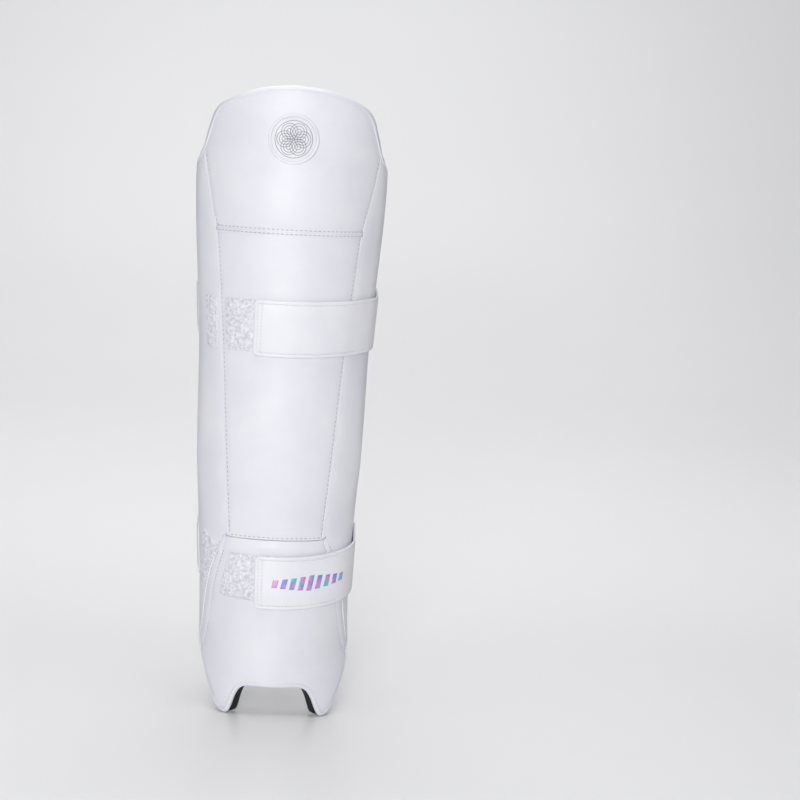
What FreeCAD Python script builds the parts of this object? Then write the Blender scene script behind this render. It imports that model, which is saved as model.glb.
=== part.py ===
import FreeCAD, Part

import math
import os

import Sketcher

# A moulded cricket leg pad with two wrap-round straps, in millimetres.
# +Z runs up the shin, -Y points forwards out of the shin face, and +X is the side that the straps wrap round.
# The pad is a stack of U-shaped layers about one upright axis: cover, foam, core, lining and bolsters.
# Every layer is lofted through the same stations, so layers stay a constant distance apart.
# Front outlines (XZ), a side outline (YZ) and bands for the straps then cut the layers into sub-parts.

# Stations of the loft: level, half width, forward rise, corner radius and sideways swing of the foot end.
STATIONS = {
    "foot": (0, 71.5, 67, 32, 5.4),
    "instep": (60, 73, 60, 32, 2.8),
    "ankle": (130, 74.2, 56, 33, 0.4),
    "low_shin": (200, 77, 56, 34, 0),
    "mid_shin": (300, 81.5, 59, 35.5, 0),
    "high_shin": (400, 85, 62, 36.5, 0),
    "knee_base": (460, 89.6, 65, 37, 0),
    "knee_cap": (520, 92.4, 66, 38, 0),
    "crown": (610, 92.4, 62, 38, 0),
}
STATION_SIZES = ("level", "half", "rise", "corner", "swing")

# Layers, as depths below the outer face; a negative depth stands proud of it.
LAYERS = {
    "cover": (0, 1.6),
    "foam": (1.9, 10.6),
    "core": (10.9, 13.4),
    "lining": (13.7, 15.2),
    "bolster": (15.5, 26.5),
    "rim": (0, 15.2),
    "patch": (-1.1, -0.2),
    "hook": (-1.95, -1.35),
    "strap": (-3.8, -2.05),
    "badge": (-3.0, -0.2),
}

DIMENSIONS = {
    # whole pad
    "wall_reach": 75, "cut_reach": 700, "axis_setback": 13.17, "part_gap": 0.3, "rim_width": 3,
    "field_side": 105, "field_top": 660,
    # front outline: crown, ears and foot arch
    "crown_peak": 622.7, "crown_peak_round": 138,
    "crown_edge": 74.5, "crown_edge_level": 590, "crown_edge_round": 24,
    "shoulder_level": 488, "flank_level": 132, "foot_swing": 5.4,
    "ear_tip": 49.3, "ear_tip_level": -12.43, "ear_round": 6.8,
    "arch_half": 34, "arch_level": 29, "arch_round": 14,
    # side outline: rear edge of the wings
    "front_clear": -100, "floor_clear": -40,
    "crown_back": -24, "crown_back_level": 574, "wing_top_back": 0, "wing_top_level": 537,
    "wing_heel_back": 57, "wing_heel_level": 482, "wing_back": 61, "wing_back_level": 400,
    "calf_back": 56, "calf_level": 250, "ankle_back": 48, "ankle_level": 150,
    "skirt_back": 28, "skirt_level": 78, "ear_heel_back": -8, "ear_heel_level": 47,
    "ear_back": -29, "ear_back_level": 12,
    "wing_round": 30, "calf_round": 150, "ear_back_round": 12,
    # seams of the shin face
    "seam_bend": 68.6, "seam_bend_level": 464, "seam_bend_round": 840, "seam_top_level": 631,
    "ankle_corner": 47.3, "ankle_seam": 173.5, "fold_low_level": -92.4, "knee_seam": 474,
    "gusset_corner": 50.5, "gusset_corner_level": 178, "gusset_low_level": -54,
    "piping_half": 1.3, "welt_half": 3.2,
    # badge
    "badge_level": 559.5, "badge_radius": 24, "badge_rim": 2.4,
    # bolsters behind the lining
    "knee_bolster_half": 57, "knee_bolster_low": 432, "knee_bolster_top": 578, "bolster_round": 14,
    "bolster_margin": 9,
    "slim_bolster_back": -6, "shin_bolster_inner": 6, "shin_bolster_low": 196, "shin_bolster_top": 418,
    "shin_bolster_low_half": 52, "shin_bolster_top_half": 62,
    "foot_pad_inner": 6, "foot_pad_top": 180, "foot_pad_top_half": 46, "foot_pad_side": 66,
    "foot_pad_side_level": 62, "foot_pad_toe": 51, "foot_pad_sole": 2, "foot_pad_arch": 33,
    "foot_pad_arch_top": 30.5, "foot_pad_arch_level": 36, "foot_pad_swing": 4.5, "foot_pad_round": 6,
    # straps
    "band_front": -70, "band_back": 95, "fold_span": 40, "fold_reach": 30, "fold_gap": 0.5,
    "anchor_length": 36, "back_wall": 3.5, "back_rise": 32, "back_corner": 22,
    "upper_level": 378.7, "upper_lift": 15, "upper_width": 54.5, "upper_tail_width": 46,
    "upper_tab_end": -29, "upper_fold_side": 77.6, "upper_fold_front": -29.6,
    "upper_fold_wall": 90.2, "upper_fold_back": 60, "upper_back_half": 89.6,
    "lower_level": 130, "lower_lift": 35, "lower_width": 52, "lower_tail_width": 46,
    "lower_tab_end": -17.5, "lower_fold_side": 70.2, "lower_fold_front": -28.6,
    "lower_fold_wall": 80.4, "lower_fold_back": 49, "lower_back_half": 79.8,
    # loop and hook tape
    "tape_under_tab": 12, "hook_inset": 6, "hook_length": 56,
    "upper_tape_top": 406, "upper_tape_low": 356, "upper_tape_side": 58, "upper_tape_side_low": 55.2,
    "wing_tape_outer": 77.7, "wing_tape_outer_low": 74.1, "wing_tape_inner": 66.6, "wing_tape_inner_low": 64,
    "lower_tape_top": 158.5, "lower_tape_low": 112.5, "lower_tape_side": 43, "lower_tape_side_low": 52,
    "lower_tape_corner_level": 118, "lower_tape_round": 7, "wing_tape_back": 25,
}

document = FreeCAD.newDocument("cricket_leg_pad")
sheet = document.addObject("Spreadsheet::Sheet", "dims")
parts = {}


def fill_sheet():
    """Write every driving dimension to the sheet, one row each: the name and the value under its alias."""
    rows = {}
    for station, sizes in STATIONS.items():
        rows.update({f"{station}_{name}": size for name, size in zip(STATION_SIZES, sizes)})
    for layer, (outer, inner) in LAYERS.items():
        rows[f"{layer}_outer"] = outer
        rows[f"{layer}_inner"] = inner
    rows.update(DIMENSIONS)
    for row, (alias, value) in enumerate(rows.items(), start=1):
        sheet.set(f"A{row}", alias)
        sheet.set(f"B{row}", str(value))
        sheet.setAlias(f"B{row}", alias)
    document.recompute()


def size(expression):
    """Value of an expression in the sheet's aliases."""
    return float(sheet.evalExpression(bound(expression)))


def bound(expression):
    """The expression with each alias named in full, as a property of the document's objects reads it."""
    words = expression.replace("(", " ( ").replace(")", " ) ").split()
    return " ".join(f"dims.{word}" if word[0].isalpha() else word for word in words)


def new_body(label):
    """An empty body."""
    body = document.addObject("PartDesign::Body", label)
    body.Label = label
    return body


def new_sketch(body, role, name, offset):
    """A sketch on one of the body's origin planes, moved by the offset's bound x, y and z expressions."""
    sketch = body.newObject("Sketcher::SketchObject", name)
    plane = next(item for item in body.Origin.OriginFeatures if item.Role == role)
    sketch.AttachmentSupport = [(plane, "")]
    sketch.MapMode = "FlatFace"
    for direction, expression in offset.items():
        sketch.setExpression(f"AttachmentOffset.Base.{direction}", bound(expression))
    return sketch


def constrain(sketch, constraints):
    """Add the constraints and bind the value of each one that comes with an expression."""
    start = sketch.ConstraintCount
    sketch.addConstraint([constraint for constraint, _ in constraints])
    for index, (_, expression) in enumerate(constraints, start=start):
        if expression is not None:
            sketch.setExpression(f"Constraints[{index}]", bound(expression))


def arch(sketch, half, rise, corner, reach, outer, inner):
    """Draw a U-shaped wall: three tangent arcs at the front and a straight wall down each side.

    The front is at -Y and the arcs spring from the X axis. The arguments are expressions: the U's half
    width, how far it rises in front, the corner arcs' radius, the straight walls' reach behind the X axis,
    and the depths of the wall's two faces inside that U.
    """
    half_value, rise_value, corner_value = size(half), size(rise), size(corner)
    reach_value = size(reach)
    squares = half_value**2 - 2 * half_value * corner_value + rise_value**2
    big_value = squares / (2 * (rise_value - corner_value))
    big_centre = f"( {half} ^ 2 - 2 * {half} * {corner} + {rise} ^ 2 ) / ( 2 * ( {rise} - {corner} ) ) - {rise}"
    turn = math.atan2(half_value - corner_value, big_value - rise_value)
    quarter = math.pi / 2

    def arc(x, y, radius, start, end):
        circle = Part.Circle(FreeCAD.Vector(x, y, 0), FreeCAD.Vector(0, 0, 1), radius)
        return Part.ArcOfCircle(circle, start, end)

    def line(x0, y0, x1, y1):
        return Part.LineSegment(FreeCAD.Vector(x0, y0, 0), FreeCAD.Vector(x1, y1, 0))

    sides = []
    for depth in (size(outer), size(inner)):
        wall = half_value - depth
        centre = half_value - corner_value
        sides.append(wall)
        sketch.addGeometry([
            line(-wall, reach_value, -wall, 0),
            arc(-centre, 0, corner_value - depth, 2 * quarter, 3 * quarter - turn),
            arc(0, big_value - rise_value, big_value - depth, 3 * quarter - turn, 3 * quarter + turn),
            arc(centre, 0, corner_value - depth, 3 * quarter + turn, 4 * quarter),
            line(wall, 0, wall, reach_value),
        ], False)
    sketch.addGeometry([
        line(sides[0], reach_value, sides[1], reach_value),
        line(-sides[1], reach_value, -sides[0], reach_value),
    ], False)

    rule = Sketcher.Constraint
    rules = []
    for first, depth in ((0, outer), (5, inner)):
        left, front, right, far = first + 1, first + 2, first + 3, first + 4
        rules += [
            (rule("Vertical", first), None),
            (rule("Vertical", far), None),
            (rule("Tangent", first, 2, left, 1), None),
            (rule("Tangent", left, 2, front, 1), None),
            (rule("Coincident", front, 2, right, 1), None),
            (rule("Horizontal", front, 1, front, 2), None),
            (rule("Tangent", right, 2, far, 1), None),
            (rule("PointOnObject", left, 3, -1), None),
            (rule("PointOnObject", right, 3, -1), None),
            (rule("PointOnObject", front, 3, -2), None),
            (rule("Radius", left, corner_value - size(depth)), f"{corner} - ( {depth} )"),
            (rule("DistanceX", left, 3, -1, 1, half_value - corner_value), f"{half} - {corner}"),
            (rule("DistanceX", -1, 1, right, 3, half_value - corner_value), f"{half} - {corner}"),
            (rule("DistanceY", -1, 1, front, 3, big_value - rise_value), big_centre),
        ]
    rules += [
        (rule("Coincident", 4, 2, 10, 1), None),
        (rule("Coincident", 10, 2, 9, 2), None),
        (rule("Coincident", 5, 1, 11, 1), None),
        (rule("Coincident", 11, 2, 0, 1), None),
        (rule("Horizontal", 10), None),
        (rule("Horizontal", 11), None),
        (rule("DistanceY", -1, 1, 4, 2, reach_value), reach),
        (rule("DistanceY", -1, 1, 0, 1, reach_value), reach),
    ]
    constrain(sketch, rules)


def layer_wall(layer):
    """Loft one layer of the pad through all stations."""
    body = new_body(f"{layer}_layer")
    sketches = []
    for station in STATIONS:
        offset = {"x": f"{station}_swing", "y": "- axis_setback", "z": f"{station}_level"}
        sketch = new_sketch(body, "XY_Plane", f"{layer}_{station}", offset)
        arch(sketch, f"{station}_half", f"{station}_rise", f"{station}_corner", "wall_reach",
             f"{layer}_outer", f"{layer}_inner")
        sketches.append(sketch)
    loft = body.newObject("PartDesign::AdditiveLoft", f"{layer}_loft")
    loft.Profile = sketches[0]
    loft.Sections = sketches[1:]
    loft.Ruled = False
    return body


def outline(sketch, corners):
    """Draw a closed outline through its corners, some of them rounded.

    Each corner is (x expression, y expression, round expression or None). A round corner keeps its sharp
    point as a bound construction point on both of its lines, and a tangent arc cuts it.
    """
    points = [FreeCAD.Vector(size(x), size(y), 0) for x, y, _ in corners]
    count = len(points)
    starts = list(points)
    ends = [points[(index + 1) % count] for index in range(count)]
    arcs = {}
    for index, (_, _, rounding) in enumerate(corners):
        if rounding is None:
            continue
        towards = (points[index - 1] - points[index]).normalize()
        onwards = (points[(index + 1) % count] - points[index]).normalize()
        half_angle = towards.getAngle(onwards) / 2
        radius = size(rounding)
        arrive = points[index] + towards * (radius / math.tan(half_angle))
        leave = points[index] + onwards * (radius / math.tan(half_angle))
        centre = points[index] + (towards + onwards).normalize() * (radius / math.sin(half_angle))
        turns_left = onwards.x * towards.y - onwards.y * towards.x > 0
        start, end = (arrive, leave) if turns_left else (leave, arrive)
        start_angle = math.atan2(start.y - centre.y, start.x - centre.x)
        end_angle = math.atan2(end.y - centre.y, end.x - centre.x)
        if end_angle < start_angle:
            end_angle += 2 * math.pi
        circle = Part.Circle(centre, FreeCAD.Vector(0, 0, 1), radius)
        arcs[index] = (Part.ArcOfCircle(circle, start_angle, end_angle), turns_left)
        ends[index - 1] = arrive
        starts[index] = leave
    sketch.addGeometry([Part.LineSegment(start, end) for start, end in zip(starts, ends)], False)

    rule = Sketcher.Constraint
    rules = []
    for index, (x, y, rounding) in enumerate(corners):
        before = (index - 1) % count
        if rounding is None:
            rules.append((rule("Coincident", before, 2, index, 1), None))
            holder, spot = index, 1
        else:
            arc, turns_left = arcs[index]
            curve = sketch.addGeometry(arc, False)
            holder, spot = sketch.addGeometry(Part.Point(points[index]), True), 1
            first, last = (1, 2) if turns_left else (2, 1)
            rules += [
                (rule("Tangent", before, 2, curve, first), None),
                (rule("Tangent", curve, last, index, 1), None),
                (rule("PointOnObject", holder, spot, before), None),
                (rule("PointOnObject", holder, spot, index), None),
                (rule("Radius", curve, size(rounding)), rounding),
            ]
        rules += [
            (rule("DistanceX", -1, 1, holder, spot, points[index].x), x),
            (rule("DistanceY", -1, 1, holder, spot, points[index].y), y),
        ]
    constrain(sketch, rules)


def inset(corners, width):
    """The corners of the same outline drawn a width further in, with mitres worked out from its sides."""
    points = [FreeCAD.Vector(size(x), size(y), 0) for x, y, _ in corners]
    count = len(points)
    area = sum(points[index - 1].x * points[index].y - points[index].x * points[index - 1].y
               for index in range(count))
    inward = 1 if area > 0 else -1
    moved = []
    for index, (x, y, rounding) in enumerate(corners):
        arriving = (points[index] - points[index - 1]).normalize()
        leaving = (points[(index + 1) % count] - points[index]).normalize()
        bend = arriving.x * leaving.y - arriving.y * leaving.x
        along = 1 + arriving.dot(leaving)
        mitre_x = -inward * (arriving.y + leaving.y) / along
        mitre_y = inward * (arriving.x + leaving.x) / along
        sign = "-" if bend * inward > 0 else "+"
        moved.append((
            f"{x} + {mitre_x:.5f} * {width}",
            f"{y} + {mitre_y:.5f} * {width}",
            None if rounding is None else f"{rounding} {sign} {width}",
        ))
    return moved


def mirrored(corners):
    """The same corners on the other side of the pad, still in running order."""
    return [(f"0 - ( {x} )", y, rounding) for x, y, rounding in reversed(corners)]


def prism(label, role, corners, offset=None):
    """Push an outline through the whole pad, square to its plane."""
    body = new_body(label)
    sketch = new_sketch(body, role, f"{label}_outline", offset or {})
    outline(sketch, corners)
    pad = body.newObject("PartDesign::Pad", f"{label}_pad")
    pad.Profile = sketch
    pad.SideType = "Symmetric"
    pad.setExpression("Length", "2 * dims.cut_reach")
    return body


def common(label, base, tool):
    """The shape that two solids share."""
    shared = document.addObject("Part::Common", label)
    shared.Base = base
    shared.Tool = tool
    shared.Label = label
    return shared


def cut(label, base, tool):
    """One solid less another."""
    remaining = document.addObject("Part::Cut", label)
    remaining.Base = base
    remaining.Tool = tool
    remaining.Label = label
    return remaining


def level_block(label, low, high):
    """A block across the whole pad between two levels."""
    block = document.addObject("Part::Box", label)
    block.setExpression("Length", "2 * dims.cut_reach")
    block.setExpression("Width", "2 * dims.cut_reach")
    block.setExpression("Height", bound(f"{high} - ({low})"))
    block.setExpression("Placement.Base.x", "-dims.cut_reach")
    block.setExpression("Placement.Base.y", "-dims.cut_reach")
    block.setExpression("Placement.Base.z", bound(low))
    return block


def front_block(label, back):
    """A block of everything in front of a plane across the pad."""
    block = document.addObject("Part::Box", label)
    block.setExpression("Length", "2 * dims.cut_reach")
    block.setExpression("Width", "dims.cut_reach")
    block.setExpression("Height", "dims.field_top")
    block.setExpression("Placement.Base.x", "-dims.cut_reach")
    block.setExpression("Placement.Base.y", bound(f"{back} - axis_setback - cut_reach"))
    return block


def keep(node, sub_part):
    """Name a finished sub-part after its node."""
    sub_part.Label = node
    parts[node] = sub_part


def envelopes():
    """The pad's outer outline as a solid, and the same a rim's width further in."""
    half_front = [
        ("foot_swing + arch_half", "arch_level", "arch_round"),
        ("foot_swing + ear_tip", "ear_tip_level", "ear_round"),
        ("foot_swing + field_side", "flank_level", None),
        ("field_side", "shoulder_level", None),
        ("crown_edge", "crown_edge_level", "crown_edge_round"),
    ]
    other_front = [
        (x.replace("foot_swing +", "foot_swing -") if "foot_swing" in x else f"0 - {x}", y, rounding)
        for x, y, rounding in reversed(half_front)
    ]
    front = half_front + [("0", "crown_peak", "crown_peak_round")] + other_front
    side = [
        ("front_clear", "floor_clear", None),
        ("ear_back", "floor_clear", None),
        ("ear_back", "ear_back_level", "ear_back_round"),
        ("ear_heel_back", "ear_heel_level", None),
        ("skirt_back", "skirt_level", "ear_back_round"),
        ("ankle_back", "ankle_level", "calf_round"),
        ("calf_back", "calf_level", "calf_round"),
        ("wing_back", "wing_back_level", "calf_round"),
        ("wing_heel_back", "wing_heel_level", "wing_round"),
        ("wing_top_back", "wing_top_level", "wing_round"),
        ("crown_back", "crown_back_level", None),
        ("crown_back", "field_top", None),
        ("front_clear", "field_top", None),
    ]
    setback = {"x": "- axis_setback"}
    outer = common("outer_envelope", prism("front_outline", "XZ_Plane", front),
                   prism("side_outline", "YZ_Plane", side, setback))
    inner = common("inner_envelope", prism("front_inset", "XZ_Plane", inset(front, "rim_width")),
                   prism("side_inset", "YZ_Plane", inset(side, "rim_width"), setback))
    bolster_limit = prism("bolster_limit", "YZ_Plane", inset(side, "bolster_margin"), setback)
    return outer, inner, bolster_limit


def shin_face_field():
    """The field of the front panels: between the two wing seams, and below them between the two folds."""
    right = [
        ("field_side", "fold_low_level", None),
        ("ankle_corner", "ankle_seam", None),
        ("seam_bend", "seam_bend_level", "seam_bend_round"),
        ("field_side", "seam_top_level", None),
        ("field_side", "field_top", None),
    ]
    return prism("shin_face_field", "XZ_Plane", right + mirrored(right))


def side_field(label, corners, is_left):
    """A field on one side of the pad, given by its right-hand corners."""
    return prism(label, "XZ_Plane", mirrored(corners) if is_left else corners)


def panels(outer_envelope, inner_envelope):
    """Cut the cover and foam layers into panels, and trim the full layers behind them."""
    layers = {layer: layer_wall(layer) for layer in ("cover", "foam", "core", "lining", "rim")}
    rim = common("rim_blank", layers["rim"], outer_envelope)
    keep("edge_binding", cut("edge_binding", rim, inner_envelope))
    keep("core_shell", common("core_shell", layers["core"], inner_envelope))
    keep("inner_lining", common("inner_lining", layers["lining"], inner_envelope))

    blocks = {
        "knee": level_block("knee_block", "knee_seam + part_gap", "field_top"),
        "shin": level_block("shin_block", "ankle_seam + part_gap", "knee_seam"),
        "instep": level_block("instep_block", "floor_clear", "ankle_seam"),
    }
    face = shin_face_field()
    wing = [
        ("cut_reach", "gusset_low_level", None),
        ("field_side", "gusset_low_level", None),
        ("gusset_corner", "gusset_corner_level", None),
        ("seam_bend + part_gap", "seam_bend_level", "seam_bend_round"),
        ("field_side + part_gap", "seam_top_level", None),
        ("cut_reach", "seam_top_level", None),
    ]
    gusset = [
        ("field_side", "fold_low_level + part_gap", None),
        ("field_side", "gusset_low_level - 2 * part_gap", None),
        ("gusset_corner - part_gap", "gusset_corner_level - part_gap", None),
        ("ankle_corner + part_gap", "ankle_seam + part_gap", None),
    ]
    wings = {side: side_field(f"{side}_wing_field", wing, side == "left") for side in ("left", "right")}
    trimmed = {layer: common(f"{layer}_trimmed", layers[layer], inner_envelope) for layer in ("cover", "foam")}
    for layer, whole in trimmed.items():
        facing = common(f"{layer}_face", whole, face)
        for panel, block in blocks.items():
            keep(f"{panel}_{layer}", common(f"{panel}_{layer}", facing, block))
        for side, field in wings.items():
            keep(f"{side}_wing_{layer}", common(f"{side}_wing_{layer}", whole, field))
    for side in wings:
        field = side_field(f"{side}_gusset_field", gusset, side == "left")
        keep(f"{side}_gusset", common(f"{side}_gusset", trimmed["cover"], field))
    return face


def bolsters(bolster_limit):
    """Padded bolsters sewn inside the lining: behind the knee, beside the shin and down both ears."""
    layer = common("bolster_trimmed", layer_wall("bolster"), bolster_limit)
    knee = [
        ("knee_bolster_half", "knee_bolster_low", "bolster_round"),
        ("knee_bolster_half", "knee_bolster_top", "bolster_round"),
        ("0 - knee_bolster_half", "knee_bolster_top", "bolster_round"),
        ("0 - knee_bolster_half", "knee_bolster_low", "bolster_round"),
    ]
    keep("knee_bolster", common("knee_bolster", layer, prism("knee_bolster_field", "XZ_Plane", knee)))
    slim = common("slim_bolster_layer", layer, front_block("slim_bolster_front", "slim_bolster_back"))
    shin = [
        ("shin_bolster_low_half", "shin_bolster_low", "bolster_round"),
        ("shin_bolster_top_half", "shin_bolster_top", "bolster_round"),
        ("shin_bolster_inner", "shin_bolster_top", "bolster_round"),
        ("shin_bolster_inner", "shin_bolster_low", "bolster_round"),
    ]
    foot = [
        ("foot_pad_toe", "foot_pad_sole", "foot_pad_round"),
        ("foot_pad_side", "foot_pad_side_level", "bolster_round"),
        ("foot_pad_top_half", "foot_pad_top", "foot_pad_round"),
        ("foot_pad_inner", "foot_pad_top", "foot_pad_round"),
        ("foot_pad_inner", "foot_pad_arch_level", "foot_pad_round"),
        ("foot_pad_arch_top", "foot_pad_arch_level", None),
        ("foot_pad_arch", "foot_pad_sole", "foot_pad_round"),
    ]
    for side in ("left", "right"):
        field = side_field(f"{side}_shin_bolster_field", shin, side == "left")
        keep(f"{side}_shin_bolster", common(f"{side}_shin_bolster", slim, field))
        corners = mirrored(foot) if side == "left" else foot
        field = prism(f"{side}_foot_pad_field", "XZ_Plane", corners, {"x": "foot_pad_swing"})
        keep(f"{side}_foot_pad", common(f"{side}_foot_pad", slim, field))


def trim(face, inner_envelope, patch_layer):
    """Piping along the wing seams and the raised welt of the knee seam."""
    proud = common("proud_trimmed", patch_layer, inner_envelope)
    for side in ("left", "right"):
        strip = [
            ("ankle_corner + piping_half", "ankle_seam", None),
            ("seam_bend + piping_half", "seam_bend_level", "seam_bend_round"),
            ("field_side + piping_half", "seam_top_level", None),
            ("field_side - piping_half", "seam_top_level", None),
            ("seam_bend - piping_half", "seam_bend_level", "seam_bend_round"),
            ("ankle_corner - piping_half", "ankle_seam", None),
        ]
        field = side_field(f"{side}_piping_field", strip, side == "left")
        keep(f"{side}_seam_piping", common(f"{side}_seam_piping", proud, field))
    face_strip = prism("welt_field", "XZ_Plane", [
        ("seam_bend - 2 * part_gap", "knee_seam - welt_half", None),
        ("seam_bend - 2 * part_gap", "knee_seam + welt_half", None),
        ("0 - seam_bend + 2 * part_gap", "knee_seam + welt_half", None),
        ("0 - seam_bend + 2 * part_gap", "knee_seam - welt_half", None),
    ])
    keep("knee_seam_welt", common("knee_seam_welt", common("welt_blank", proud, face), face_strip))


def badge(patch_layer):
    """The round badge on the knee panel: a thin disc inside a taller ring, both bent to the pad's face."""
    def rod(label, radius):
        cylinder = document.addObject("Part::Cylinder", label)
        cylinder.setExpression("Radius", bound(radius))
        cylinder.setExpression("Height", "dims.cut_reach")
        cylinder.Placement = FreeCAD.Placement(FreeCAD.Vector(), FreeCAD.Rotation(FreeCAD.Vector(1, 0, 0), 90))
        cylinder.setExpression("Placement.Base.z", "dims.badge_level")
        return cylinder

    inner = rod("badge_inner_rod", "badge_radius - badge_rim")
    disc = rod("badge_disc_rod", "badge_radius - badge_rim - part_gap / 3")
    keep("badge_disc", common("badge_disc", patch_layer, disc))
    blank = common("badge_blank", layer_wall("badge"), rod("badge_outer_rod", "badge_radius"))
    keep("badge_ring", cut("badge_ring", blank, inner))


def strap_band(name):
    """The tilted band that one strap lies in, seen from the side, tapering towards the back."""
    corners = [
        ("band_front", f"{name}_level - {name}_width / 2", None),
        ("band_back", f"{name}_level + {name}_lift - {name}_tail_width / 2", None),
        ("band_back", f"{name}_level + {name}_lift + {name}_tail_width / 2", None),
        ("band_front", f"{name}_level + {name}_width / 2", None),
    ]
    return prism(f"{name}_band", "YZ_Plane", corners, {"x": "- axis_setback"})


def strap(name, strap_layer, hook_layer):
    """One strap: sewn anchor, back, side and front tab, each cut from its wall at the lines it folds along."""
    setback = {"y": "- axis_setback"}
    band = strap_band(name)
    wall = common(f"{name}_strap_wall", strap_layer, band)
    fold_x, fold_y = f"{name}_fold_side", f"{name}_fold_front"

    tab_field = prism(f"{name}_tab_field", "XY_Plane", [
        (f"{name}_tab_end", "front_clear", None),
        (f"{fold_x} + fold_reach - fold_gap", f"{fold_y} - fold_reach - fold_gap", None),
        (f"{fold_x} - fold_span - fold_gap", f"{fold_y} + fold_span - fold_gap", None),
        (f"{name}_tab_end", f"{fold_y} + fold_span - fold_gap", None),
    ], setback)
    keep(f"{name}_strap_tab", common(f"{name}_strap_tab", wall, tab_field))

    side_wall = prism(f"{name}_side_field", "XY_Plane", [
        (f"{fold_x} - fold_span + fold_gap", f"{fold_y} + fold_span + fold_gap", None),
        (f"{fold_x} + fold_reach + fold_gap", f"{fold_y} - fold_reach + fold_gap", None),
        (f"{fold_x} + fold_reach + fold_gap", f"{name}_fold_back - fold_gap", None),
        (f"{fold_x} - fold_span + fold_gap", f"{name}_fold_back - fold_gap", None),
    ], setback)
    keep(f"{name}_strap_side", common(f"{name}_strap_side", wall, side_wall))

    anchor_field = prism(f"{name}_anchor_field", "XY_Plane", [
        (f"0 - {name}_fold_wall - fold_reach", f"{name}_fold_back - anchor_length", None),
        ("0", f"{name}_fold_back - anchor_length", None),
        ("0", f"{name}_fold_back - fold_gap", None),
        (f"0 - {name}_fold_wall - fold_reach", f"{name}_fold_back - fold_gap", None),
    ], setback)
    keep(f"{name}_strap_anchor", common(f"{name}_strap_anchor", wall, anchor_field))

    back = new_body(f"{name}_back_wall")
    sketch = new_sketch(back, "XY_Plane", f"{name}_back_arch", {})
    half_turn = FreeCAD.Rotation(FreeCAD.Vector(0, 0, 1), 180)
    sketch.AttachmentOffset = FreeCAD.Placement(FreeCAD.Vector(), half_turn)
    spring_line = bound(f"{name}_fold_back + fold_gap + back_wall - axis_setback")
    sketch.setExpression("AttachmentOffset.Base.y", spring_line)
    arch(sketch, f"{name}_back_half", "back_rise", "back_corner", "back_wall",
         "0", "strap_inner - strap_outer")
    pad = back.newObject("PartDesign::Pad", f"{name}_back_pad")
    pad.Profile = sketch
    pad.setExpression("Length", "dims.field_top")
    keep(f"{name}_strap_back", common(f"{name}_strap_back", back, band))

    hook_field = prism(f"{name}_hook_field", "XY_Plane", [
        (f"{name}_tab_end + hook_inset", "front_clear", None),
        (f"{name}_tab_end + hook_inset + hook_length", "front_clear", None),
        (f"{name}_tab_end + hook_inset + hook_length", f"{fold_y} + fold_span", None),
        (f"{name}_tab_end + hook_inset", f"{fold_y} + fold_span", None),
    ], setback)
    hook_band = prism(f"{name}_hook_band", "YZ_Plane", [
        ("band_front", f"{name}_level - {name}_width / 2 + hook_inset", None),
        ("band_back", f"{name}_level + {name}_lift - {name}_tail_width / 2 + hook_inset", None),
        ("band_back", f"{name}_level + {name}_lift + {name}_tail_width / 2 - hook_inset", None),
        ("band_front", f"{name}_level + {name}_width / 2 - hook_inset", None),
    ], {"x": "- axis_setback"})
    tape = common(f"{name}_hook_wall", hook_layer, hook_band)
    keep(f"{name}_hook_tape", common(f"{name}_hook_tape", tape, hook_field))
    return band


def loop_tapes(patch_layer, lower_band):
    """Loop tape that the tabs press on to: a front and a wing patch for each strap, all left of the tabs."""
    upper_front = [
        ("0 - upper_tape_side_low", "upper_tape_low", None),
        ("tape_under_tab", "upper_tape_low", None),
        ("tape_under_tab", "upper_tape_top", None),
        ("0 - upper_tape_side", "upper_tape_top", None),
    ]
    upper_wing = [
        ("0 - wing_tape_outer_low", "upper_tape_low", None),
        ("0 - wing_tape_inner_low", "upper_tape_low", None),
        ("0 - wing_tape_inner", "upper_tape_top", None),
        ("0 - wing_tape_outer", "upper_tape_top", None),
    ]
    lower_front = [
        ("0 - lower_tape_side_low", "lower_tape_corner_level", "lower_tape_round"),
        ("0 - lower_tape_side + lower_tape_round", "lower_tape_low", None),
        ("tape_under_tab", "lower_tape_low", None),
        ("tape_under_tab", "lower_tape_top", None),
        ("0 - lower_tape_side", "lower_tape_top", None),
    ]
    for node, corners in (("upper_front_loop", upper_front), ("upper_wing_loop", upper_wing),
                          ("lower_front_loop", lower_front)):
        keep(node, common(node, patch_layer, prism(f"{node}_field", "XZ_Plane", corners)))

    wing_strip = common("lower_wing_loop_wall", patch_layer, lower_band)
    beyond_fold = prism("lower_wing_loop_field", "XZ_Plane", mirrored([
        ("gusset_corner + 2 * part_gap", "gusset_corner_level", None),
        ("field_side + 2 * part_gap", "gusset_low_level", None),
        ("cut_reach", "gusset_low_level", None),
        ("cut_reach", "gusset_corner_level", None),
    ]))
    wing_length = prism("lower_wing_loop_length", "YZ_Plane", [
        ("front_clear", "floor_clear", None),
        ("wing_tape_back", "floor_clear", None),
        ("wing_tape_back", "field_top", None),
        ("front_clear", "field_top", None),
    ], {"x": "- axis_setback"})
    wing_blank = common("lower_wing_loop_blank", wing_strip, beyond_fold)
    keep("lower_wing_loop", common("lower_wing_loop", wing_blank, wing_length))


def build():
    """Build the whole document and leave each finished sub-part in the table of parts."""
    fill_sheet()
    outer_envelope, inner_envelope, bolster_limit = envelopes()
    face = panels(outer_envelope, inner_envelope)
    bolsters(bolster_limit)
    patch_layer = layer_wall("patch")
    trim(face, inner_envelope, patch_layer)
    badge(patch_layer)
    strap_layer, hook_layer = layer_wall("strap"), layer_wall("hook")
    strap("upper", strap_layer, hook_layer)
    lower_band = strap("lower", strap_layer, hook_layer)
    loop_tapes(patch_layer, lower_band)
    document.recompute()


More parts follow.
